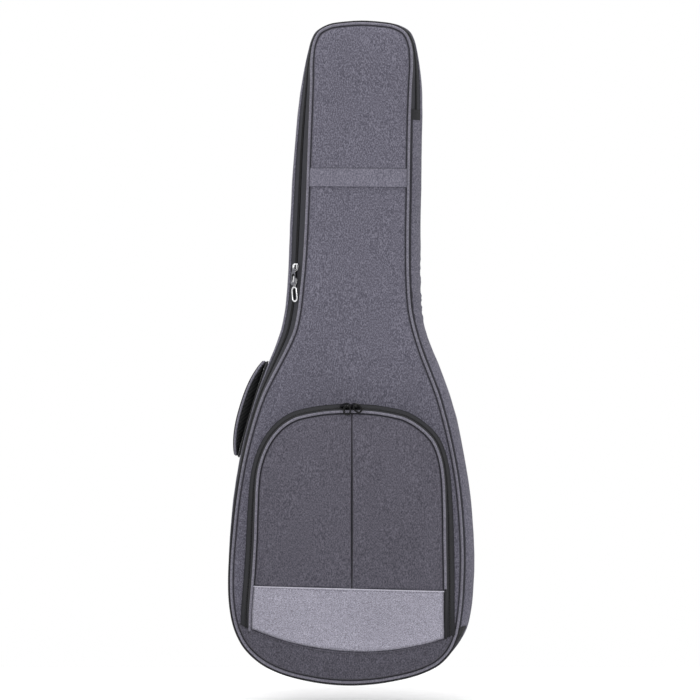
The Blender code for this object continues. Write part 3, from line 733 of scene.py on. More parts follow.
def scuff_panel():
    """Heavy cloth round the foot; its upper edge rises to meet the pocket's foot."""
    sewn = inset(front_line, 0.0016)
    ring = np.roll(sewn, TOTAL // 2, axis=0)
    below = [p for p in ring if height(p[1]) < scuff_height(p[0]) - 0.0002 and p[1] < -0.85]
    foot = spaced(np.array(below), 150)
    if foot[0, 0] > foot[-1, 0]:
        foot = foot[::-1]
    x = np.linspace(foot[0, 0], foot[-1, 0], 600)
    rim_line = spaced(np.column_stack([x, FOOT_Z + scuff_height(x) - 0.0004]), 150)
    shares = np.concatenate([np.linspace(0, 0.12, 8)[:-1], np.linspace(0.12, 0.86, 22),
                             [0.9, 0.93, 0.955, 0.975, 0.988, 1.0]])
    grid = np.array([foot + (rim_line - foot) * s for s in shares])
    distance = edge_distance(grid, front_line)
    from_rim = scuff_height(grid[..., 0]) - height(grid[..., 1])
    in_pocket = edge_distance(grid, pocket_line, closed=False)
    x = grid[..., 0]
    within = np.where((x > pocket_line[0, 0]) & (x < pocket_line[-1, 0]), in_pocket, -in_pocket)
    inside = ease((within + 0.006) / 0.018)
    rise = np.clip(1 - from_rim / 0.040, 0, 1) ** 1.5
    reach = pocket_stand(grid[..., 1]) + 0.0012
    stand = 0.0016 + inside * rise * np.maximum(reach - 0.0016, 0)
    stand = stand - 0.0012 * (1 - ease((from_rim - 0.0002) / 0.0016))
    calm = 0.0005 * ripples(grid, 0.07, 21)
    y = cover_y(grid, distance) - stand * ease((distance - 0.002) / 0.004) - calm * rise
    face = lift(grid, y)
    shade = seam_shade(distance, 0.0022, 0.0042)
    piece = cloth("scuff_panel_cloth", face, HEAVY_CLOTH, FRONTWARDS, "front_cover", scuff_cloth,
                  shade=shade, stands_for=("scuff_panel",))
    line = face[-5] + (0, -0.0001, 0)
    stitches("scuff_panel_stitching", line[3:-3], "front_cover", thread_black, FRONTWARDS)


# Pocket

def pocket_sides(z):
    """x of the pocket's piping at left and right for each height."""
    left, right = pocket_line[:POCKET_TOP + 1], pocket_line[POCKET_TOP:][::-1]
    return np.interp(z, left[:, 1], left[:, 0]), np.interp(z, right[:, 1], right[:, 0])


def flap_y(grid, crown=1.0):
    """Depth of the pocket's face, a soft crown that dips to its piping."""
    distance = edge_distance(grid, pocket_line, closed=False)
    puff = 0.0030 * (1 - np.exp(-np.maximum(distance - 0.004, 0) / 0.016)) * crown
    dip = 0.0022 * (1 - ease((distance - 0.0026) / 0.0030))
    wave = (0.0008 * ripples(grid, 0.13, 31) + 0.0004 * ripples(grid, 0.045, 32))
    calm = ease((distance - 0.003) / 0.02)
    return FRONT - pocket_stand(grid[..., 1]) + dip - puff - calm * wave, distance


def slit_half(z):
    """Half width of the pleat's mouth: widest below its middle, closed at its ends."""
    share = np.clip((height(z) - 0.155) / 0.272, 0, 1)
    return 0.00012 + 0.0009 * np.sin(math.pi * share ** 0.75) ** 1.3


def pocket_half(side):
    """One half of the pocket's face, rolled in where it meets the pleat."""
    line = pocket_line[:POCKET_TOP + 1] if side == "left" else pocket_line[POCKET_TOP:][::-1]
    way = 1 if side == "left" else -1
    inner = inset(line, 0.0012 * way, closed=False)
    top_z = pocket_line[POCKET_TOP, 1] - 0.0012
    rows = []
    z_rows = np.concatenate([np.linspace(-0.885, top_z - 0.03, 90),
                             top_z - 0.03 * (1 - np.sin(np.linspace(0, math.pi / 2, 26)[1:]))])
    for z in z_rows:
        edge_x = np.interp(z, inner[:, 1], inner[:, 0])
        stop = PLEAT_X - way * slit_half(z)
        reach = abs(stop - edge_x)
        near = near_edge(reach, EDGES[:9], 0.4)
        shares = np.concatenate([near, np.linspace(near[-1], 1 - 0.006 / max(reach, 0.02), 26)[1:],
                                 1 - np.array([0.0042, 0.0028, 0.0016, 0.0008, 0.0003, 0.0])
                                 / max(reach, 0.02)])
        rows.append(np.column_stack([edge_x + (stop - edge_x) * shares, np.full(len(shares), z)]))
    grid = np.array(rows)
    y, distance = flap_y(grid)
    high = height(grid[..., 1])
    from_slit = abs(grid[..., 0] - PLEAT_X) - slit_half(grid[..., 1])
    roll = 0.0030 * (1 - ease(from_slit / 0.0022)) ** 2
    crease = 0.0008 * np.exp(-from_slit / 0.012) * ease((high - 0.16) / 0.05)
    y = y + roll + crease
    face = lift(grid, y)
    # Painted shade: darker towards the pocket's foot, where the light falls off, in the gap just
    # above the pale band, in the seam by the piping and at the pleat's slit.
    low_painted_shade = 0.13 * (1 - ease((high - 0.14) / 0.24))
    foot = 0.9 * (1 - ease((grid[..., 1] - band_top(grid[..., 0]) - 0.0007) / 0.0022))
    shade = np.maximum.reduce([seam_shade(distance, 0.0023, 0.0040), low_painted_shade, foot,
                               0.9 * (1 - ease(from_slit / 0.0006))])
    piece = cloth("pocket_face_" + side, face, 0.0014, FRONTWARDS, "pocket_flap", pocket_cloth,
                  shade=shade, stands_for=("pocket_panel_" + side,))


def pocket_pieces():
    """The pocket's face in two halves, the pleat behind their slit, and the piping."""
    for side in ("left", "right"):
        pocket_half(side)
    z = np.linspace(-0.870, pocket_line[POCKET_TOP, 1] - 0.006, 60)
    across = np.linspace(-0.022, 0.022, 13)
    grid = np.stack(np.meshgrid(PLEAT_X + across, z), axis=-1)
    y = flap_y(grid)[0] + 0.0042 + 0.0006 * np.cos(math.pi * across / 0.022)
    face = lift(grid, y)
    # The pleat behind the slit is darkened all over: painted shade inside the slit.
    piece = cloth("pocket_pleat_fold", face, 0.0010, FRONTWARDS, "pocket_flap", pocket_cloth,
                  shade=np.full(face.shape[:2], 0.9), stands_for=("pocket_pleat",))
    path = lift(pocket_foot(pocket_line, 0.006), 0)
    path[:, 1] = FRONT - pocket_stand(path[:, 2]) + 0.0006
    low = (np.arange(len(path)) > len(path) // 2) & (height(path[:, 2]) < ACCENT_TOP - 0.0038)
    shown, hidden = path[~low], path[low]
    swell = POCKET_PIPING_R * (1 + 0.03 * ripples(shown, 0.02, 33))
    tube("pocket_piping_cord", shown, swell, "pocket_flap", piping_painted_highlight, 12,
         stands_for=("pocket_piping",))
    # On the right the pale band is sewn over the cord, so only its dark seam tape shows.
    tube("pocket_piping_tape", hidden + (0, 0.0004, 0), 0.0017, "pocket_flap", edge_tape, 8)
    pocket_lining()
    accent_band()


def pocket_lining():
    """Plain cloth behind the pocket's face, seen when the pocket is open."""
    rows = []
    for z in np.linspace(-0.945, pocket_line[POCKET_TOP, 1] - 0.004, 70):
        left, right = pocket_sides(z)
        rows.append(np.column_stack([np.linspace(left + 0.004, right - 0.004, 30), np.full(30, z)]))
    grid = np.array(rows)
    y = FRONT - pocket_stand(grid[..., 1]) + 0.0052 + 0.0004 * ripples(grid, 0.08, 35)
    face = lift(grid, y)
    piece = cloth("pocket_inner_cloth", face, 0.0006, BACKWARDS, "pocket_flap", plush)


def accent_band():
    """Pale band across the pocket's foot, where the pocket hinges; it rides on no body."""
    columns = 90
    share = np.linspace(0, 1, columns)
    left, right = pocket_sides(-0.93)
    x_low = np.linspace(left + 0.0028, right - 0.0028, columns)
    low = FOOT_Z + scuff_height(x_low) + 0.0004
    rows = []
    for s in np.concatenate([np.linspace(0, 1, 40)[:-3], [0.955, 0.97, 0.983, 0.992, 1.0]]):
        z = mix(low, band_top(x_low), s)
        left, right = pocket_sides(z)
        rows.append(np.column_stack([mix(left + 0.0026, right - 0.0026, share), z]))
    grid = np.array(rows)
    from_top = band_top(grid[..., 0]) - grid[..., 1]
    distance = edge_distance(grid, pocket_line, closed=False)
    y, _ = flap_y(grid, crown=0.9)
    body = y - 0.0018 - 0.0006 * np.exp(-from_top / 0.004)
    body = body + 0.0014 * (1 - ease((from_top + 0.0002) / 0.0012))
    foot = ease((height(grid[..., 1]) - scuff_height(grid[..., 0])) / 0.006)
    body = body + 0.0018 * (1 - foot)
    # Painted shade: a little in the seam by the piping, and more at the foot, where the band tucks
    # under the scuff panel.
    shade = np.maximum(seam_shade(distance, 0.0020, 0.0032, most=0.5), 0.5 * (1 - foot) ** 2)
    calm = ease((from_top - 0.004) / 0.012) * foot
    body = body - calm * (0.0008 * ripples(grid * (1.0, 1.6), 0.030, 91) + folds(grid))
    face = lift(grid, body)
    piece = cloth("accent_band_cloth", face, HEAVY_CLOTH, FRONTWARDS, None, accent_cloth,
                  shade=shade, stands_for=("accent_band",))
    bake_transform(piece)
    line = face[-4] + (0, -0.0001, 0)
    stitches("accent_band_stitching", line[2:-2], "pocket_flap", thread_grey, FRONTWARDS)
    # The rolled edge is drawn in the lighter copy of the pale canvas: a painted highlight.
    roll = face[-1] + (0, -0.0001, -0.0006)
    tube("accent_band_rolled_edge", roll, 0.0011, "pocket_flap", accent_painted_highlight, 8)


# Each fold's middle from the bag's middle and foot, its turn, half width, half length and depth.
FOLDS = ((0.112, 0.092, 0.75, 0.0045, 0.022, 0.0016), (0.090, 0.078, 0.9, 0.004, 0.020, 0.0012),
         (0.066, 0.068, 1.0, 0.004, 0.018, 0.0009), (0.128, 0.118, 0.6, 0.004, 0.016, 0.0011),
         (-0.128, 0.112, -0.4, 0.005, 0.020, 0.0012), (-0.112, 0.090, -0.7, 0.004, 0.018, 0.0011),
         (-0.080, 0.100, 0.3, 0.005, 0.026, 0.0008), (0.020, 0.110, 0.1, 0.005, 0.030, 0.0006))


def folds(grid):
    """Depth of the slack diagonal folds at the two lower corners of the pale band."""
    x, z = grid[..., 0] - CENTRE_X, height(grid[..., 1])
    depth = np.zeros(x.shape)
    for x_mid, z_mid, turn, wide, long, deep in FOLDS:
        along = (x - x_mid) * math.cos(turn) - (z - z_mid) * math.sin(turn)
        across = (x - x_mid) * math.sin(turn) + (z - z_mid) * math.cos(turn)
        depth += deep * np.exp(-(across / wide) ** 2 - (along / long) ** 2)
    return depth


# Zips

def bevel(part, share):
    """Points on the sloped face between the cover's piping and the gusset's widest line."""
    inner = lift(front_line, BEVEL_FRONT)[part]
    outer = lift(wide_line, BEVEL_BACK)[part]
    return mix(inner, outer, share)


def coil(name, path, radius, side, out, body, material, **more):
    """Half a coil zip: a cord whose turns lean towards the other half."""
    steps = int(length_of(path) / COIL_PITCH) * 4
    line = spaced(path, steps)
    across = unit(spaced(side, steps))
    beat = np.tile([1.0, 0.35, -1.0, 0.35], steps // 4 + 1)[:steps]
    line = line + across * (0.0004 * beat)[:, None]
    return tube(name, line, radius * (1 + 0.22 * beat), body, material, 6, up=out, **more)


def main_zip():
    """Tapes and coils of the long zip, a near-black sheet behind the coil as painted shade, its
    dark rim and the patches on its ends.
    """
    part = np.arange(ZIP_LOW - TOTAL, ZIP_TOP + 1) % TOTAL
    for name, shares, body, stands_for in (
            ("zip_tape_cover_side", (0.03, 0.10, 0.22, 0.34, 0.41), "front_cover",
             "main_zip_tape_front"),
            ("zip_tape_shell_side", (0.59, 0.66, 0.74, 0.82, 0.90, 0.97), "shell",
             "main_zip_tape_rear")):
        grid = np.stack([bevel(part, s) for s in shares], axis=1)
        grid[:, 1:-1, 1] += 0.0003 * ripples(grid[:, 1:-1], 0.05, 41)
        cloth(name, grid, 0.0009, FRONTWARDS, body, zip_tape, stands_for=(stands_for,))
    # A near-black sheet closes the gap that the coil halves leave beside the tapes: painted shade
    # in that gap.
    for name, shares, body in (("zip_gap_shade_cover_side", (0.34, 0.44, 0.498), "front_cover"),
                               ("zip_gap_shade_shell_side", (0.502, 0.56, 0.66), "shell")):
        grid = np.stack([bevel(part, s) + (0, 0.0016, 0) for s in shares], axis=1)
        cloth(name, grid, 0.0006, FRONTWARDS, body, zip_gap_shade)
    side = bevel(part, 1.0) - bevel(part, 0.0)
    for name, share, way, body, stands_for in (
            ("zip_coil_cover_side", 0.462, 1, "front_cover", "main_zip_coil_front"),
            ("zip_coil_shell_side", 0.538, -1, "shell", "main_zip_coil_rear")):
        path = bevel(part, share) + (0, -0.0003, 0)
        coil(name, path, 0.0011, side * way, FRONTWARDS, body, zip_coil,
             stands_for=(stands_for,))
    # Low on the left, along the foot and over the top the tape shows as a dark rim.
    run = np.arange(ZIP_LOW - TOTAL, ZIP_TOP - 6) % TOTAL
    high = height(front_line[run, 1])
    rise = 1 - ease((high - 0.32) / 0.06) + 0.75 * ease((high - 1.030) / 0.022)
    out = inset(front_line, -1.0)[run] - front_line[run]
    path = lift(front_line[run] + out * (0.0008 + 0.0030 * rise)[:, None], PIPING_Y + 0.0010)
    tube("zip_tape_rim", path, 0.0017, "front_cover", edge_tape, 8)
    for name, start, stop in (("zip_end_patch_top", ZIP_TOP - 3, ZIP_TOP + 8),
                              ("zip_end_patch_low", ZIP_LOW - 4, ZIP_LOW + 5)):
        spot = np.arange(start, stop)
        grid = np.stack([bevel(spot, s) for s in np.linspace(0.12, 0.93, 9)], axis=1)
        dome = np.sin(np.linspace(0.15, math.pi - 0.15, 9)) * 0.0012
        grid[..., 1] -= 0.0008 + dome
        cloth(name, grid, 0.0018, (0.5, -1, 0), "shell", edge_tape)


def hinge_cloth():
    """The fold of cloth that joins the cover to the gusset on the right."""
    part = np.arange(ZIP_TOP, ZIP_LOW + 1)
    shares = np.concatenate([[0.04, 0.10, 0.15, 0.20, 0.24, 0.28], np.linspace(0.32, 1.0, 10)])
    grid = np.stack([bevel(part, s) for s in shares], axis=1)
    out = np.array([0.55, -0.83, 0])
    slack = 0.0022 + 0.0005 * ripples(grid, 0.05, 51) + creases(grid)
    grid = grid + out * (slack * np.sin(math.pi * shares))[..., None]
    # Painted shade: a dark line beside the piping, where the cloth dips into the seam.
    shade = np.broadcast_to(0.9 * (1 - ease((shares - 0.23) / 0.05)), grid.shape[:2])
    piece = cloth("hinge_fold_cloth", grid, CLOTH, (0.5, -1, 0), None, heather, shade=shade,
                  stands_for=("hinge_gusset",))
    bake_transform(piece)


def creases(grid):
    """Depth of the short creases where the padded wall bends round the right of the waist."""
    z = grid[..., 2]
    right = ease((grid[..., 0] - 0.02) / 0.03)
    where = np.exp(-((height(z) - 0.622) / 0.048) ** 2)
    beat = np.sin(2 * math.pi * (z + 0.12 * grid[..., 1]) / 0.0205 + 1.3 * np.sin(z * 90))
    return 0.0017 * where * right * beat


# Gusset and back

def gusset_pieces():
    """The padded side wall, rolled at its zip edge and puffed a little between its seams."""
    index = np.arange(TOTAL)
    out = lift(inset(wide_line, -1.0) - wide_line, 0)
    # Beside the hinge the rolled edge lies down under the fold of cloth.
    folded = ease((index - ZIP_TOP - 4) / 6) * ease((ZIP_LOW - 4 - index) / 6)
    profile = []
    for share, stand in ((0.84, 0.0010), (0.88, 0.0015), (0.94, 0.0013)):
        stand = (stand * (1 - 1.5 * folded))[:, None]
        profile.append(bevel(index, share) + stand * (out * 0.2 + FRONTWARDS))
    depth = WALL_BACK - WALL_FRONT
    shares = np.concatenate([[0.0, 0.02, 0.05], np.linspace(0.1, 0.9, 14), [0.95, 0.98, 1.0]])
    for share in shares:
        y = WALL_FRONT - 0.0012 + (depth + 0.0008) * share
        puff = 0.0007 * math.sin(math.pi * min(share * 1.02, 1)) ** 0.6
        tuck = 0.0022 * float(ease((share - 0.93) / 0.07))
        profile.append(lift(inset(wide_line, tuck - puff), y))
    grid = np.stack(profile, axis=1)
    wall = np.concatenate([np.zeros(3), np.sin(math.pi * shares) ** 0.5])
    out = out[:, None]
    wave = 0.0006 * ripples(grid, 0.11, 61) + 0.0003 * ripples(grid, 0.04, 62)
    lively = np.concatenate([[0.3, 0.6, 0.8], 0.8 + 0.2 * np.sin(math.pi * shares)])
    grid = grid + out * (wave * wall + creases(grid) * lively * 1.1)[..., None]
    # Painted shade where the wall tucks into the back's seam.
    shade = np.zeros(grid.shape[:2])
    shade[:, -3:] = (0.3, 0.7, 0.9)
    piece = cloth("gusset_wall_pad", grid, CLOTH, out, "shell", heather, wrap=True, shade=shade,
                  stands_for=("gusset_panel",) + tuple(n for n in nodes if "gusset_padding" in n))
    pipe = lift(inset(wide_line, PANEL_EDGE), BACK_PIPING_Y)
    tube("back_piping_cord", pipe, PIPING_R, "shell", piping_painted_highlight, 12, True,
         stands_for=("back_piping",))
    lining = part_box("gusset_lining")
    inside = 0.0111         # the foam's thickness under the lining
    rails = []
    for share in np.linspace(0, 1, 10):
        puff = 0.0009 * math.sin(math.pi * share)
        rails.append(lift(inset(wide_line, inside + puff), mix(lining[0].y, lining[1].y, share)))
    cloth("wall_lining_velour", np.stack(rails, axis=1), LINING, -out, "shell", plush, wrap=True,
          stands_for=("gusset_lining",))
    rails = [lift(inset(wide_line, inwards), BEVEL_BACK + behind) for inwards, behind in
             ((0.0010, 0.0012), (0.0030, 0.0007), (0.0065, 0.0005), (0.0100, 0.0012),
              (0.0117, 0.0030), (0.0119, 0.0080))]
    cloth("wall_edge_binding", np.stack(rails, axis=1), 0.0007, FRONTWARDS, "shell", edge_tape,
          wrap=True)


def back_pieces():
    """The back's padded panel and its lining."""
    grid = lens(inset(wide_line, 0.0040), TOP, 200, 36, EDGES)
    distance = edge_distance(grid, wide_line)
    edge = ease((distance - 0.0055) / 0.0035)
    calm = ease((distance - 0.006) / 0.04)
    y = BACK - 0.0028 * (1 - edge) - 0.0012 * np.exp(-np.maximum(distance - .006, 0) / .014)
    y = y - 0.0004 * calm * (1 + ripples(grid, 0.15, 71))
    face = lift(grid, y)
    shade = seam_shade(distance, 0.0052, 0.0070)
    piece = cloth("back_panel_pad", face, CLOTH, BACKWARDS, "shell", heather, shade=shade,
                  stands_for=("back_panel", "back_padding"))
    grid = lens(inset(wide_line, 0.0095), TOP, 120, 24, EDGES[::2])
    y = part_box("back_lining")[0].y + 0.0004 * (1 + ripples(grid, 0.10, 72))
    face = lift(grid, y)
    piece = cloth("back_lining_velour", face, 0.0008, FRONTWARDS, "shell", plush,
                  stands_for=("back_lining",))


def pocket_zip():
    """Tapes and coils round the pocket; they widen low on its sides and end under the scuff."""
    pocket = pocket_foot(pocket_line, 0.010)
    low = 1 - ease((height(pocket[:, 1]) - 0.22) / 0.16)[:, None]
    base = mix(inset(pocket, -0.0112, closed=False), inset(pocket, -0.0144, closed=False), low)
    inner = lift(pocket, FRONT - pocket_stand(pocket[:, 1]) + 0.0034)
    outside = edge_distance(base, front_line)
    outer = lift(base, 0)
    outer[:, 1] = cover_y(base, outside) - 0.0004
    inner[:, 1] = np.minimum(inner[:, 1], outer[:, 1] - 0.0028)
    for edge in (inner, outer):
        above = height(edge[:, 2]) - scuff_height(edge[:, 0])
        edge[:, 1] += 0.0036 * (1 - ease((above + 0.0045) / 0.004)) - 0.0014 * low[:, 0]
    for name, shares, body, node_name in (
            ("pocket_tape_flap_side", (0.02, 0.14, 0.28, 0.40), "pocket_flap",
             "pocket_zip_tape_inner"),
            ("pocket_tape_cover_side", (0.60, 0.72, 0.86, 0.97, 1.06), "front_cover",
             "pocket_zip_tape_outer")):
        grid = np.stack([mix(inner, outer, s) for s in shares], axis=1)
        if body == "front_cover":
            grid[:, -1, 1] = outer[:, 1] - 0.0003
        cloth(name, grid, 0.0008, FRONTWARDS, body, pocket_tape, stands_for=(node_name,))
    side = outer - inner
    for name, share, way, body, node_name in (
            ("pocket_coil_flap_side", 0.460, 1, "pocket_flap", "pocket_zip_coil_inner"),
            ("pocket_coil_cover_side", 0.540, -1, "front_cover", "pocket_zip_coil_outer")):
        coil(name, mix(inner, outer, share) + (0, -0.0004, 0), 0.0008, side * way, FRONTWARDS,
             body, zip_coil, stands_for=(node_name,))


# Metal and moulded parts

def plate_mesh(outline, thickness, axes, hole=None, edge=0.0004):
    """Points and faces of a plate with softened edges: its outline in u and v, raised along w."""
    origin, u, v, w = [np.asarray(a, float) for a in axes]
    outline = np.asarray(outline, float)

    def placed(loop, level):
        return origin + loop[:, :1] * u + loop[:, 1:] * v + level * w

    slim = inset_any(outline, edge)
    outer = [placed(slim, 0), placed(outline, edge), placed(outline, thickness - edge),
             placed(slim, thickness)]
    if hole is None:
        hub = np.tile(outline.mean(axis=0), (len(outline), 1))
        return lofted([placed(hub, 0)] + outer + [placed(hub, thickness)], False)
    hole = np.asarray(hole, float)
    wide = inset_any(hole, -edge)
    inner = [placed(wide, thickness), placed(hole, thickness - edge), placed(hole, edge),
             placed(wide, 0)]
    return lofted(outer + inner, True)


def inset_any(loop, distance):
    """A closed loop of either turn moved inwards."""
    ahead = np.roll(loop, -1, axis=0)
    turn = (loop[:, 0] * ahead[:, 1] - ahead[:, 0] * loop[:, 1]).sum()
    return inset(loop, -distance if turn > 0 else distance)


def lofted(rails, round_again):
    """Closed rails joined in their order, and the last to the first if it goes round again."""
    count = len(rails[0])
    faces = []
    for k in range(len(rails) if round_again else len(rails) - 1):
        a, b = k * count, (k + 1) % len(rails) * count
        for i in range(count):
            j = (i + 1) % count
            faces.append((a + i, a + j, b + j, b + i))
    return np.vstack(rails), faces


def oval(width, low, high, points=32):
    """Outline with two straight sides and round ends, from low to high."""
    radius = width / 2
    straight = max((high - low) / 2 - radius, 0)
    middle = (high + low) / 2
    loop = []
    for i in range(points):
        turn = 2 * math.pi * (i + 0.5) / points
        rise = math.copysign(straight, math.sin(turn))
        loop.append((radius * math.cos(turn), middle + rise + radius * math.sin(turn)))
    return loop


def pear(width, length):
    """A slider's plan: round nose, soft shoulders and a narrower tail."""
    loop = []
    for turn in round_turns(36):
        across, along = math.cos(turn), math.sin(turn)
        narrow = 1 - 0.28 * max(0, -along) ** 1.2
        reach = width * 0.46 if along > 0 else length * 0.62
        loop.append((width / 2 * across * narrow, reach * along))
    return loop


def joint_axis(name):
    """A joint's place and its direction."""
    found = next(j for j in frame["joints"] if j["name"] == name)
    return np.array(found.get("pos_m", (0, 0, 0)), float), np.array(found["axis"], float)


def slider_mesh(width, length, tall, axes, reach=None):
    """Two shells held apart by a diamond, with a bridge for the pull.

    reach is how far the bridge's arch stands off the upper shell, and which way.
    """
    origin, u, v, w = [np.asarray(a, float) for a in axes]
    reach = w * 0.0027 if reach is None else reach
    low = plate_mesh(pear(width, length), tall * 0.30, axes, edge=0.0003)
    top = plate_mesh(pear(width, length), tall * 0.34, (origin + w * tall * 0.66, u, v, w))
    diamond = plate_mesh(oval(width * 0.30, 0, length * 0.3, 16), tall * 0.5,
                         (origin + w * tall * 0.25, u, v, w), edge=0.0002)
    arch = [origin + v * mix(0.24, -0.46, share) * length + w * tall * 0.9
            + reach * max(math.sin(math.pi * share), 0.0) ** 0.6
            for share in np.linspace(0, 1, 13)]
    bridge = tube_mesh(arch, width * 0.09, 8, False, up=u, flat=1.4)
    return joined([low, top, diamond, bridge])


def main_sliders():
    """Two plated sliders: the upper one carries the plate, the lower one the wire loop."""
    up = joint_axis("main_slider_upper_slide")[1]
    plate_pin, across = joint_axis("main_pull_plate_hinge")
    across = across * np.sign(across[0])
    out = unit(np.cross(up, across))
    out = -out * np.sign(out[1])
    for name, node_name, width in (("slider_upper", "main_slider_upper", 0.0108),
                                   ("slider_lower", "main_slider_lower", 0.0084)):
        points = merged(node_name)[0]
        bottom = (points @ out).min()
        base = points[(points @ out) < bottom + 0.0004] @ across
        origin = (across * ((base.min() + base.max()) / 2 + SLIDER_SHIFT)
                  + up * ((points @ up).max() - 0.0052) + out * bottom)
        shape = slider_mesh(width, 0.014, 0.0036, (origin, across, up, out))
        add(name + "_shells", *shape, node_name, nickel, stands_for=(node_name,))
        # A black plate in the hollow under the bridge: painted shade there.
        well = plate_mesh(oval(0.0058, -0.0052, 0.0034, 20), 0.0004,
                          (origin + out * 0.0035, across, up, out), edge=0.0001)
        add(name + "_painted_shade_plate", *well, node_name, black_zinc)
    pull_plate(plate_pin + across * SLIDER_SHIFT * 1.6, across, up, out)
    pull_loop(joint_axis("main_pull_loop_hinge")[0] + across * SLIDER_SHIFT * 2.6, across, up, out)


def pull_plate(pin, across, up, out):
    """A tapered plate with a dark window and a bright tongue in it, hung by a small ring."""
    outline = [(x * (1 - 0.30 * float(ease((z + 0.012) / 0.010))), z)
               for x, z in oval(0.0105, -0.0245, 0.0005, 44)]
    plate = plate_mesh(outline, 0.0014, (pin, across, up, out), oval(0.0062, -0.02, -0.006, 44))
    ring = tube_mesh(circle_path(pin + out * 0.0006, across, up, 0.0022, 20), 0.0007, 6, True,
                     up=out)
    add("pull_plate_body", *joined([plate, ring]), "main_pull_plate", nickel_brushed,
        stands_for=("main_pull_plate",))
    tongue = plate_mesh(oval(0.0026, -0.0190, -0.0098, 20), 0.0009,
                        (pin + across * 0.0008, across, up, out), edge=0.0002)
    add("pull_plate_tongue", *tongue, "main_pull_plate", nickel)
    back = plate_mesh(oval(0.0068, -0.0206, -0.0054), 0.0003,
                      (pin - out * 0.0002, across, up, out), edge=0.0001)
    add("pull_plate_backing", *back, "main_pull_plate", black_zinc)


def pull_loop(pin, across, up, out):
    """A long wire loop that narrows towards its pin."""
    lean = up * math.cos(LOOP_LEAN) - across * math.sin(LOOP_LEAN)
    aside = across * math.cos(LOOP_LEAN) + up * math.sin(LOOP_LEAN)
    path = [pin + aside * x * (1 - 0.16 * float(ease((z + 0.008) / 0.008))) + lean * z
            + out * 0.0011 for x, z in oval(0.0100, -0.0226, 0.0002, 56)]
    wire = tube_mesh(path, 0.00135, 10, True, up=out, flat=0.8)
    add("pull_loop_wire", *wire, "main_pull_loop", nickel, stands_for=("main_pull_loop",))


def round_turns(count):
    return np.linspace(0, 2 * math.pi, count, endpoint=False)


def circle_path(centre, u, v, radius, points):
    return [centre + radius * (math.cos(t) * u + math.sin(t) * v) for t in round_turns(points)]


def pocket_sliders():
    """Two black sliders at the top of the pocket; the right one's ring hangs askew."""
    tall = 0.0042
    for side, lean, aside in (("left", 0.0, 0.0016), ("right", 0.9, -0.0050)):
        slider, pull = "pocket_slider_" + side, "pocket_pull_" + side
        along = -joint_axis(slider + "_slide")[1]
        points = merged(slider)[0]
        centre = (points.max(axis=0) + points.min(axis=0)) / 2
        # The slider is thinnest across the zip's face.
        thin = np.linalg.eigh((points - centre).T @ (points - centre))[1][:, 0]
        out = thin if thin[1] < 0 else -thin
        across = unit(np.cross(along, out))
        origin = centre - out * 0.0020 + (aside, 0, 0) + along * 0.0008
        pin = joint_axis(pull + "_hinge")[0] + (aside, 0, 0)
        reach = pin + (0, -0.0020, -0.0004) - origin - out * tall * 0.9
        reach = reach - along * (reach @ along)
        shape = slider_mesh(0.0134, 0.0172, tall, (origin, across, along, out), reach)
        add(slider + "_shells", *shape, slider, black_zinc, stands_for=(slider,))
        turn = np.array([math.cos(lean), 0, math.sin(lean)])
        rise = np.array([-math.sin(lean), 0, math.cos(lean)])
        path = [pin + turn * x * 0.86 + rise * z * 0.86 + (0, -0.0002, 0)
                for x, z in oval(0.0116, -0.0172, -0.0012, 40)]
        wire = tube_mesh(path, 0.0015, 8, True, up=FRONTWARDS)
        add(pull + "_ring", *wire, pull, black_zinc, stands_for=(pull,))


# Side handle

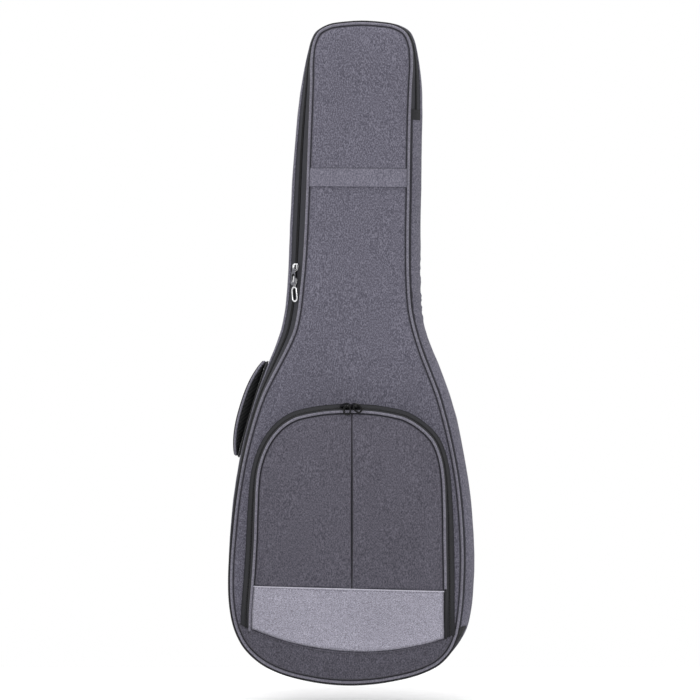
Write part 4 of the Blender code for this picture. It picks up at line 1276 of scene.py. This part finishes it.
def side_handle():
    """Padded handle on the left wall: cloth outside, ribbed grip inside, bound edges."""
    points = merged("side_handle_cover")[0]
    pivot, axis = joint_axis("side_handle_swing")
    axis = unit(axis) * np.sign(axis[2])
    away = np.cross(axis, BACKWARDS)
    away = away if away[0] < 0 else -away
    half_run = abs((points - pivot) @ axis).max()
    shares = 0.5 - 0.5 * np.cos(np.linspace(0, math.pi, 61))
    arch = (1 - np.abs(2 * shares - 1) ** 2.4) ** 0.9
    chord = pivot + np.outer((1 - 2 * shares) * half_run * 0.985 - 0.0014, axis)
    half = 0.006 + 0.014 * np.sqrt(arch)
    front_out, rear_out = 0.008 + 0.0135 * arch, 0.008 + 0.0010 * arch
    y_way = np.array([0, 1.0, 0])

    def sheet_at(inward, crown, cross):
        rails = []
        for s in cross:
            out = mix(front_out, rear_out, (s + 1) / 2) - inward + crown * (1 - s * s)
            rails.append(chord + np.outer(out, away) + np.outer(half * s, y_way))
        return np.stack(rails, axis=1)

    cross = np.concatenate([[-1.0, -0.97, -0.9], np.linspace(-0.8, 0.8, 13), [0.9, 0.97, 1.0]])
    outer = sheet_at(0.0002, 0.0016, cross)
    outer += away * (0.0004 * ripples(outer, 0.04, 81))[..., None]
    pad = cloth("side_handle_pad", outer, 0.0024, away, "side_handle", heather,
                stands_for=("side_handle_cover",))
    # The grip is cut into fine rows, so that its slanting ribs are real.
    index = np.linspace(0.02, 0.98, 220) * 60
    low = np.floor(index).astype(int)
    inner = sheet_at(0.0042, 0.0010, np.linspace(-0.93, 0.93, 25))
    inner = mix(inner[low], inner[np.minimum(low + 1, 60)], (index - low)[:, None, None])
    run = (inner @ axis) + 0.8 * (inner @ y_way)
    inner = inner - away * (0.0005 * np.sin(2 * math.pi * run / RIB_PITCH))[..., None]
    cloth("side_handle_grip", inner, 0.0016, -away, "side_handle", handle_rib,
          stands_for=("side_handle_lining",))
    for name, s, radius, material, outwards, rearwards in (
            ("side_handle_rim_front", -1.0, 0.0019, piping_painted_highlight, 0, 0),
            ("side_handle_rim_rear", 1.0, 0.0019, piping_painted_highlight, 0, 0),
            ("side_handle_cord_front", -1.06, 0.0011, edge_tape, 0.0020, 0.0016)):
        out = mix(front_out, rear_out, (s + 1) / 2) - 0.0012 + outwards
        path = chord + np.outer(out, away) + np.outer(half * s + rearwards, y_way)
        tube(name, path, radius, "side_handle", material, 10, up=away)
    for place, rows in (("upper", slice(0, 8)), ("lower", slice(-8, None))):
        cloth("side_handle_end_" + place, sheet_at(-0.0006, 0.0016, cross)[rows], 0.0005, away,
              "side_handle", edge_tape)
    rails = []
    for s in np.linspace(-0.021, 0.021, 15):
        # The base swells beside the zip, and stays low under the grip.
        swell = 0.0031 * (1 - float(ease((s + 0.004) / 0.014)))
        puff = 0.0021 + swell * arch[3:-3] ** 0.45 - 0.0010 * abs(s / 0.021) ** 4
        rails.append(chord[3:-3] + np.outer(puff, away) + y_way * (s + 0.002))
    base = cloth("side_handle_base", np.stack(rails, axis=1), 0.0030, away, "shell", webbing)
    for place, end, toward in (("upper", chord[0], -1), ("lower", chord[-1], 1)):
        rails = []
        for share in np.linspace(0, 1, 9):
            wide = mix(0.0130, 0.0068, float(ease(share)))
            long = mix(0.0090, 0.0022, float(ease(share)))
            middle = (end + axis * toward * mix(0.0060, 0.0018, share)
                      + away * mix(0.0004, 0.0066, share))
            rails.append(np.array([middle + y_way * wide * squared(math.cos(t))
                                   + axis * long * squared(math.sin(t)) for t in round_turns(24)]))
        caps = [np.tile(rail.mean(axis=0), (24, 1)) for rail in (rails[0], rails[-1])]
        root = add("side_handle_root_" + place, *lofted([caps[0]] + rails + [caps[1]], False),
                   None, webbing, stands_for=("handle_anchor_" + place,))
        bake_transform(root)


def squared(value):
    """Rounds a circle towards a square."""
    return math.copysign(abs(value) ** 0.6, value)


# Carrying straps on the back

def stuffed(name, node_name, material, voxel, cap, shrink, low_y=-1.0, high_y=1.0):
    """A foam pad in cloth: the CAD solid remeshed, blown up a little as cloth, and capped.

    It stays between two depths, so that it lies flat on what it rests on.
    """
    obj = nodes[node_name].copy()
    obj.data = nodes[node_name].data.copy()
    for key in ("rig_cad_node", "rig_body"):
        if key in obj:
            del obj[key]
    obj.name = name
    obj.parent = None
    bpy.context.scene.collection.objects.link(obj)
    shape = bmesh.new()
    shape.from_mesh(obj.data)
    bmesh.ops.remove_doubles(shape, verts=shape.verts, dist=1e-5)
    bmesh.ops.recalc_face_normals(shape, faces=shape.faces)
    shape.to_mesh(obj.data)
    shape.free()
    bpy.context.view_layer.objects.active = obj
    remesh = obj.modifiers.new("even", "REMESH")
    remesh.mode = "VOXEL"
    remesh.voxel_size = voxel
    bake_shape(obj)
    normal = np.array([v.normal for v in obj.data.vertices])
    start = corners_of(obj.data) - normal * shrink
    obj.data.vertices.foreach_set("co", start.ravel())
    blow_up(obj)
    move = corners_of(obj.data) - start
    size = np.linalg.norm(move, axis=1)[:, None]
    found = start + move * np.minimum(1, cap / np.maximum(size, 1e-9))
    obj.data.vertices.foreach_set("co", found.ravel())
    obj.modifiers.new("even_out", "SMOOTH").iterations = 4
    obj.modifiers.new("fine", "SUBSURF").levels = 1
    bake_shape(obj)
    found = corners_of(obj.data)
    found[:, 1] = np.clip(found[:, 1], low_y, high_y)
    obj.data.vertices.foreach_set("co", found.ravel())
    obj.data.update()
    obj.data.shade_smooth()
    obj.data.materials.clear()
    obj.data.materials.append(material)
    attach(obj, "shell")
    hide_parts(node_name)


def bake_shape(obj):
    """Replaces a mesh by what its modifiers make of it."""
    graph = bpy.context.evaluated_depsgraph_get()
    made = bpy.data.meshes.new_from_object(obj.evaluated_get(graph))
    obj.modifiers.clear()
    obj.data = made


def blow_up(obj):
    """Simulates a mesh as cloth with air in it, and keeps the shape that it takes."""
    blown = obj.modifiers.new("air", "CLOTH")
    blown.settings.use_pressure = True
    blown.settings.uniform_pressure_force = AIR_PRESSURE
    blown.settings.effector_weights.gravity = 0
    blown.point_cache.frame_end = CLOTH_STEPS
    for step in range(1, CLOTH_STEPS + 1):
        bpy.context.scene.frame_set(step)
    bake_shape(obj)
    bpy.context.scene.frame_set(1)


def back_straps():
    """Both shoulder straps with their webbing, locks and tabs, the yoke and the loop."""
    for side in ("left", "right"):
        strap = "shoulder_strap_" + side
        low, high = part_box(strap)
        stuffed(strap + "_pad", strap, heather, voxel=0.0048, cap=0.006,
                shrink=0.0022, low_y=BACK + 0.0003, high_y=high.y + 0.0030)
        outline = strap_outline(strap)
        path = lift(outline, (low.y + high.y) / 2)
        tube(strap + "_binding", path, 0.0016, "shell", edge_tape, 10, True, flat=2.6)
        inner = inset_any(outline, 0.0075)
        line = lift(np.vstack([inner, inner[:1]]), high.y + 0.0006)
        stitches(strap + "_stitching", line, "shell", thread_grey, BACKWARDS)
        webbing_run(side)
        ladder_lock(side)
        strap_tab(side)
    yoke()
    hang_loop()


def strap_outline(node_name):
    """Closed (x, z) outline of a strap, rounded at its ends."""
    points = merged(node_name)[0]
    flat = points[points[:, 1] > points[:, 1].max() - 1e-5][:, [0, 2]]
    flat = flat[np.argsort(flat[:, 1])]
    pairs = flat[:len(flat) // 2 * 2].reshape(-1, 2, 2)
    left = np.array([p[np.argmin(p[:, 0])] for p in pairs])
    right = np.array([p[np.argmax(p[:, 0])] for p in pairs])
    loop = smooth(np.vstack([left, right[::-1]]), True, 4)
    for _ in range(3):
        loop = (np.roll(loop, 1, axis=0) + loop + np.roll(loop, -1, axis=0)) / 3
    return inset_any(loop, 0.0004)


def ribbon(name, path, widths, thickness, body, material, up, columns=9, **more):
    """Flat webbing along a path, with a soft rolled edge on both sides."""
    path, up = np.asarray(path, float), np.asarray(up, float)
    along = unit(course(path, False))
    side = unit(np.cross(along, up))
    over = np.cross(side, along)
    over = over * np.sign((over @ up).mean())
    half = np.broadcast_to(widths, len(path))[:, None] / 2
    rails = [path + side * half * share - over * 0.35 * thickness * abs(share) ** 6
             for share in np.linspace(-1, 1, columns)]
    return cloth(name, np.stack(rails, axis=1), thickness, over[:, None], body, material, **more)


def webbing_run(side):
    """Lower webbing of a shoulder strap, from its tab up to its lock."""
    node_name = "strap_webbing_" + side
    low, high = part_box(node_name)
    points = merged(node_name)[0]
    z = points[:, 2]
    line = smooth(np.array([points[where].mean(axis=0) for where in (
        z < low.z + 0.004, abs(z - (low.z + high.z) / 2) < 0.02, z > high.z - 0.004)]), False, 20)
    line[:, 1] = high.y + 0.0002 + 0.0012 * np.sin(np.linspace(0, math.pi, len(line)))
    ribbon(node_name + "_run", line, WEBBING_WIDE, 0.0017, "shell", webbing, BACKWARDS,
           stands_for=(node_name,))


def ladder_lock(side):
    """Moulded ladder-lock: a rounded frame with two cross bars and a lifting tail."""
    low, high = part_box("strap_buckle_" + side)
    centre = (low + high) / 2
    origin = np.array([centre.x, low.y, centre.z])
    wide, tall = (high.x - low.x) / 2, (high.z - low.z) / 2
    axes = (origin, (1, 0, 0), (0, 0, 1), BACKWARDS)
    outer = [(wide * squared(squared(math.cos(t))), tall * squared(squared(math.sin(t))))
             for t in round_turns(48)]
    inner = [(x * 0.76, z * 0.68) for x, z in outer]
    parts = [plate_mesh(outer, high.y - low.y - 0.0008, axes, inner, 0.0007)]
    for z, radius in ((-0.0035, 0.0019), (0.0045, 0.0022)):
        bar = [origin + np.array([x, 0.0030, z]) for x in np.linspace(-wide * 0.84, wide * 0.84, 9)]
        parts.append(tube_mesh(np.array(bar), radius, 10, False, up=BACKWARDS, flat=0.8))
    add("ladder_lock_" + side, *joined(parts), "shell", acetal,
        stands_for=("strap_buckle_" + side,))


def strap_tab(side):
    """Cloth tab that anchors a lower webbing, box-and-cross stitched."""
    node_name = "strap_tab_" + side
    low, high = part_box(node_name)
    points = merged(node_name)[0]
    top = points[points[:, 2] > high.z - 0.008].mean(axis=0)
    foot = points[points[:, 2] < low.z + 0.008].mean(axis=0)
    line = np.array([mix(foot, top, s) for s in np.linspace(0, 1, 14)])
    line[:, 1] = high.y - 0.0006 * np.abs(np.linspace(-1, 1, 14)) ** 4
    wide = (0.050, 0.036)
    ribbon(node_name + "_patch", line, np.linspace(*wide, 14), 0.0022, "shell", pocket_cloth,
           BACKWARDS, 15, stands_for=(node_name,))
    corners = np.array([mix(foot, top, s) + (w * mix(*wide, s), 0, 0) for s, w in (
        (0.12, -0.42), (0.12, 0.42), (0.88, 0.40), (0.88, -0.40), (0.12, -0.42), (0.88, 0.40),
        (0.12, 0.42), (0.88, -0.40))])
    corners[:, 1] = high.y + 0.0001
    stitches(node_name + "_stitching", corners, "shell", thread_grey, BACKWARDS)


def yoke():
    """Patch that both shoulder straps are sewn under."""
    low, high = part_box("strap_yoke")
    rows, cols = 16, 40
    across, up = np.linspace(-1, 1, cols)[None], np.linspace(0, 1, rows)[:, None]
    half = (high.x - low.x) / 2 - 0.008 * up
    tuck = np.maximum(abs(across) ** 12, abs(2 * up - 1) ** 8)
    grid = np.stack([(low.x + high.x) / 2 + half * across, high.y + 0.0004 - 0.0016 * tuck,
                     np.broadcast_to(mix(low.z, high.z, up), (rows, cols))], axis=-1)
    piece = cloth("strap_yoke_patch", grid, 0.0020, BACKWARDS, "shell", pocket_cloth,
                  stands_for=("strap_yoke",))
    line = np.array([grid[2, 2], grid[2, -3], grid[-3, -3], grid[-3, 2], grid[2, 2]])
    stitches("strap_yoke_stitching", line + (0, 0.0002, 0), "shell", thread_grey, BACKWARDS)


def hang_loop():
    """Webbing loop that stands off the neck's back, sewn flat at both ends."""
    low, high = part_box("hang_loop")
    heights = np.array([-0.112, -0.092, -0.078, -0.060, -0.030, -0.012, 0.0, 0.010, 0.030])
    stand = np.array([0.0, 0.0, 0.35, 0.80, 1.0, 1.0, 0.80, 0.0, 0.0])
    middle = (low.x + high.x) / 2
    path = np.column_stack([np.full(9, middle), low.y + 0.018 * stand + 0.0021, heights])
    path = smooth(path, False, 6)
    path[:, 1] = np.maximum(path[:, 1], low.y + 0.0021)
    ribbon("hang_loop_webbing", path, WEBBING_WIDE, 0.0020, "shell", webbing, BACKWARDS,
           stands_for=("hang_loop",))
    left, right = middle - 0.0095, middle + 0.0095
    for name, foot in (("upper", 0.014), ("lower", -0.108)):
        top = foot + 0.013
        corners = [(x, low.y + 0.0024, z) for x, z in (
            (left, foot), (right, foot), (right, top), (left, top), (left, foot), (right, top))]
        stitches("hang_loop_bartack_" + name, corners, "shell", thread_grey, BACKWARDS,
                 length=0.0024, gap=0.0008)


# Inside

def inside_pieces():
    """Neck cradle, headstock pad, end bumper and the neck strap."""
    for name, node_name in (("neck_cradle_pad", "neck_cradle"),
                            ("headstock_rest_pad", "headstock_pad"),
                            ("end_bumper_pad", "end_bumper")):
        stuffed(name, node_name, foam_cloth, voxel=0.0055, cap=0.005, shrink=0.0026,
                high_y=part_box(node_name)[1].y)
    for name, node_name in (("neck_strap_hook_patch", "neck_strap_patch"),
                            ("neck_strap_webbing", "neck_strap")):
        low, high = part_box(node_name)
        x = np.linspace(low.x, high.x, 40)
        line = np.column_stack([x, np.full(40, low.y), np.full(40, (low.z + high.z) / 2)])
        line[:, 1] += 0.0003 * np.sin(np.linspace(0, math.pi, 40))
        ribbon(name, line, high.z - low.z, high.y - low.y - 0.0002, "shell", webbing,
               FRONTWARDS, stands_for=(node_name,))
    low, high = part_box("neck_strap")
    left, right, foot, top = low.x + 0.005, low.x + 0.022, low.z + 0.004, high.z - 0.004
    corners = [(x, low.y - 0.0002, z) for x, z in (
        (left, foot), (left, top), (right, top), (right, foot), (left, foot), (right, top))]
    stitches("neck_strap_stitching", corners, "shell", thread_grey, FRONTWARDS)


# Room, lights and camera

def softbox(name, spot, target, size, power):
    light = bpy.data.lights.new(name, "AREA")
    light.shape = "RECTANGLE"
    light.size, light.size_y = size
    light.energy = power
    obj = bpy.data.objects.new(name, light)
    bpy.context.scene.collection.objects.link(obj)
    obj.location = spot
    obj.rotation_euler = (Vector(target) - Vector(spot)).to_track_quat("-Z", "Y").to_euler()


def studio():
    """White room, three soft lights, a paper floor and the camera straight in front."""
    world = bpy.data.worlds.new("studio_room")
    bpy.context.scene.world = world
    world.use_nodes = True
    back = world.node_tree.nodes["Background"]
    back.inputs["Color"].default_value = (1, 1, 1, 1)
    back.inputs["Strength"].default_value = 1.0
    middle = (CENTRE_X, -0.06, -0.49)
    softbox("key_softbox", (-1.3, -2.6, 1.1), middle, (1.6, 1.6), 26)
    softbox("fill_softbox", (1.8, -2.6, 0.2), middle, (1.4, 2.0), 10)
    softbox("top_softbox", (0.0, -0.3, 1.6), (0, 0, -1), (1.6, 1.2), 22)
    # Matt paper, so pale that it only shows the bag's soft shadow.
    paper, tree, body, place = finish("studio_paper", Roughness=0.9)
    grain = node(tree, "ShaderNodeTexNoise", Vector=place, Scale=40.0)
    colour = node(tree, "ShaderNodeValToRGB", stops=((0.3, "fafafa"), (0.7, "ffffff")),
                  Fac=grain.outputs[0])
    tree.links.new(colour.outputs[0], body.inputs["Base Color"])
    grid = np.stack(np.meshgrid(np.linspace(-0.8, 0.8, 5), np.linspace(-0.6, 0.5, 5)), axis=-1)
    points = np.column_stack([grid.reshape(-1, 2), np.full(25, cad_box[0].z - FLOOR_DROP)])
    faces = [(a, a + 1, a + 6, a + 5) for i in range(4) for a in range(i * 5, i * 5 + 4)]
    add("studio_floor", points, faces, None, paper)
    optics = bpy.data.cameras.new("camera")
    optics.sensor_width = SENSOR
    optics.lens = SENSOR * CAMERA_AWAY / VIEW_WIDTH
    optics.clip_end = 50
    camera = bpy.data.objects.new("camera", optics)
    camera.location = (CENTRE_X, FRONT - CAMERA_AWAY, FOOT_Z + CAMERA_HEIGHT)
    camera.rotation_euler = (math.pi / 2, 0, 0)
    bpy.context.scene.collection.objects.link(camera)
    bpy.context.scene.camera = camera
    bpy.context.scene.view_settings.view_transform = "Standard"


for make in (cover_pieces, neck_band, scuff_panel, pocket_pieces, main_zip, hinge_cloth,
             gusset_pieces, back_pieces, pocket_zip, main_sliders, pocket_sliders, side_handle,
             back_straps, inside_pieces, studio):
    make()
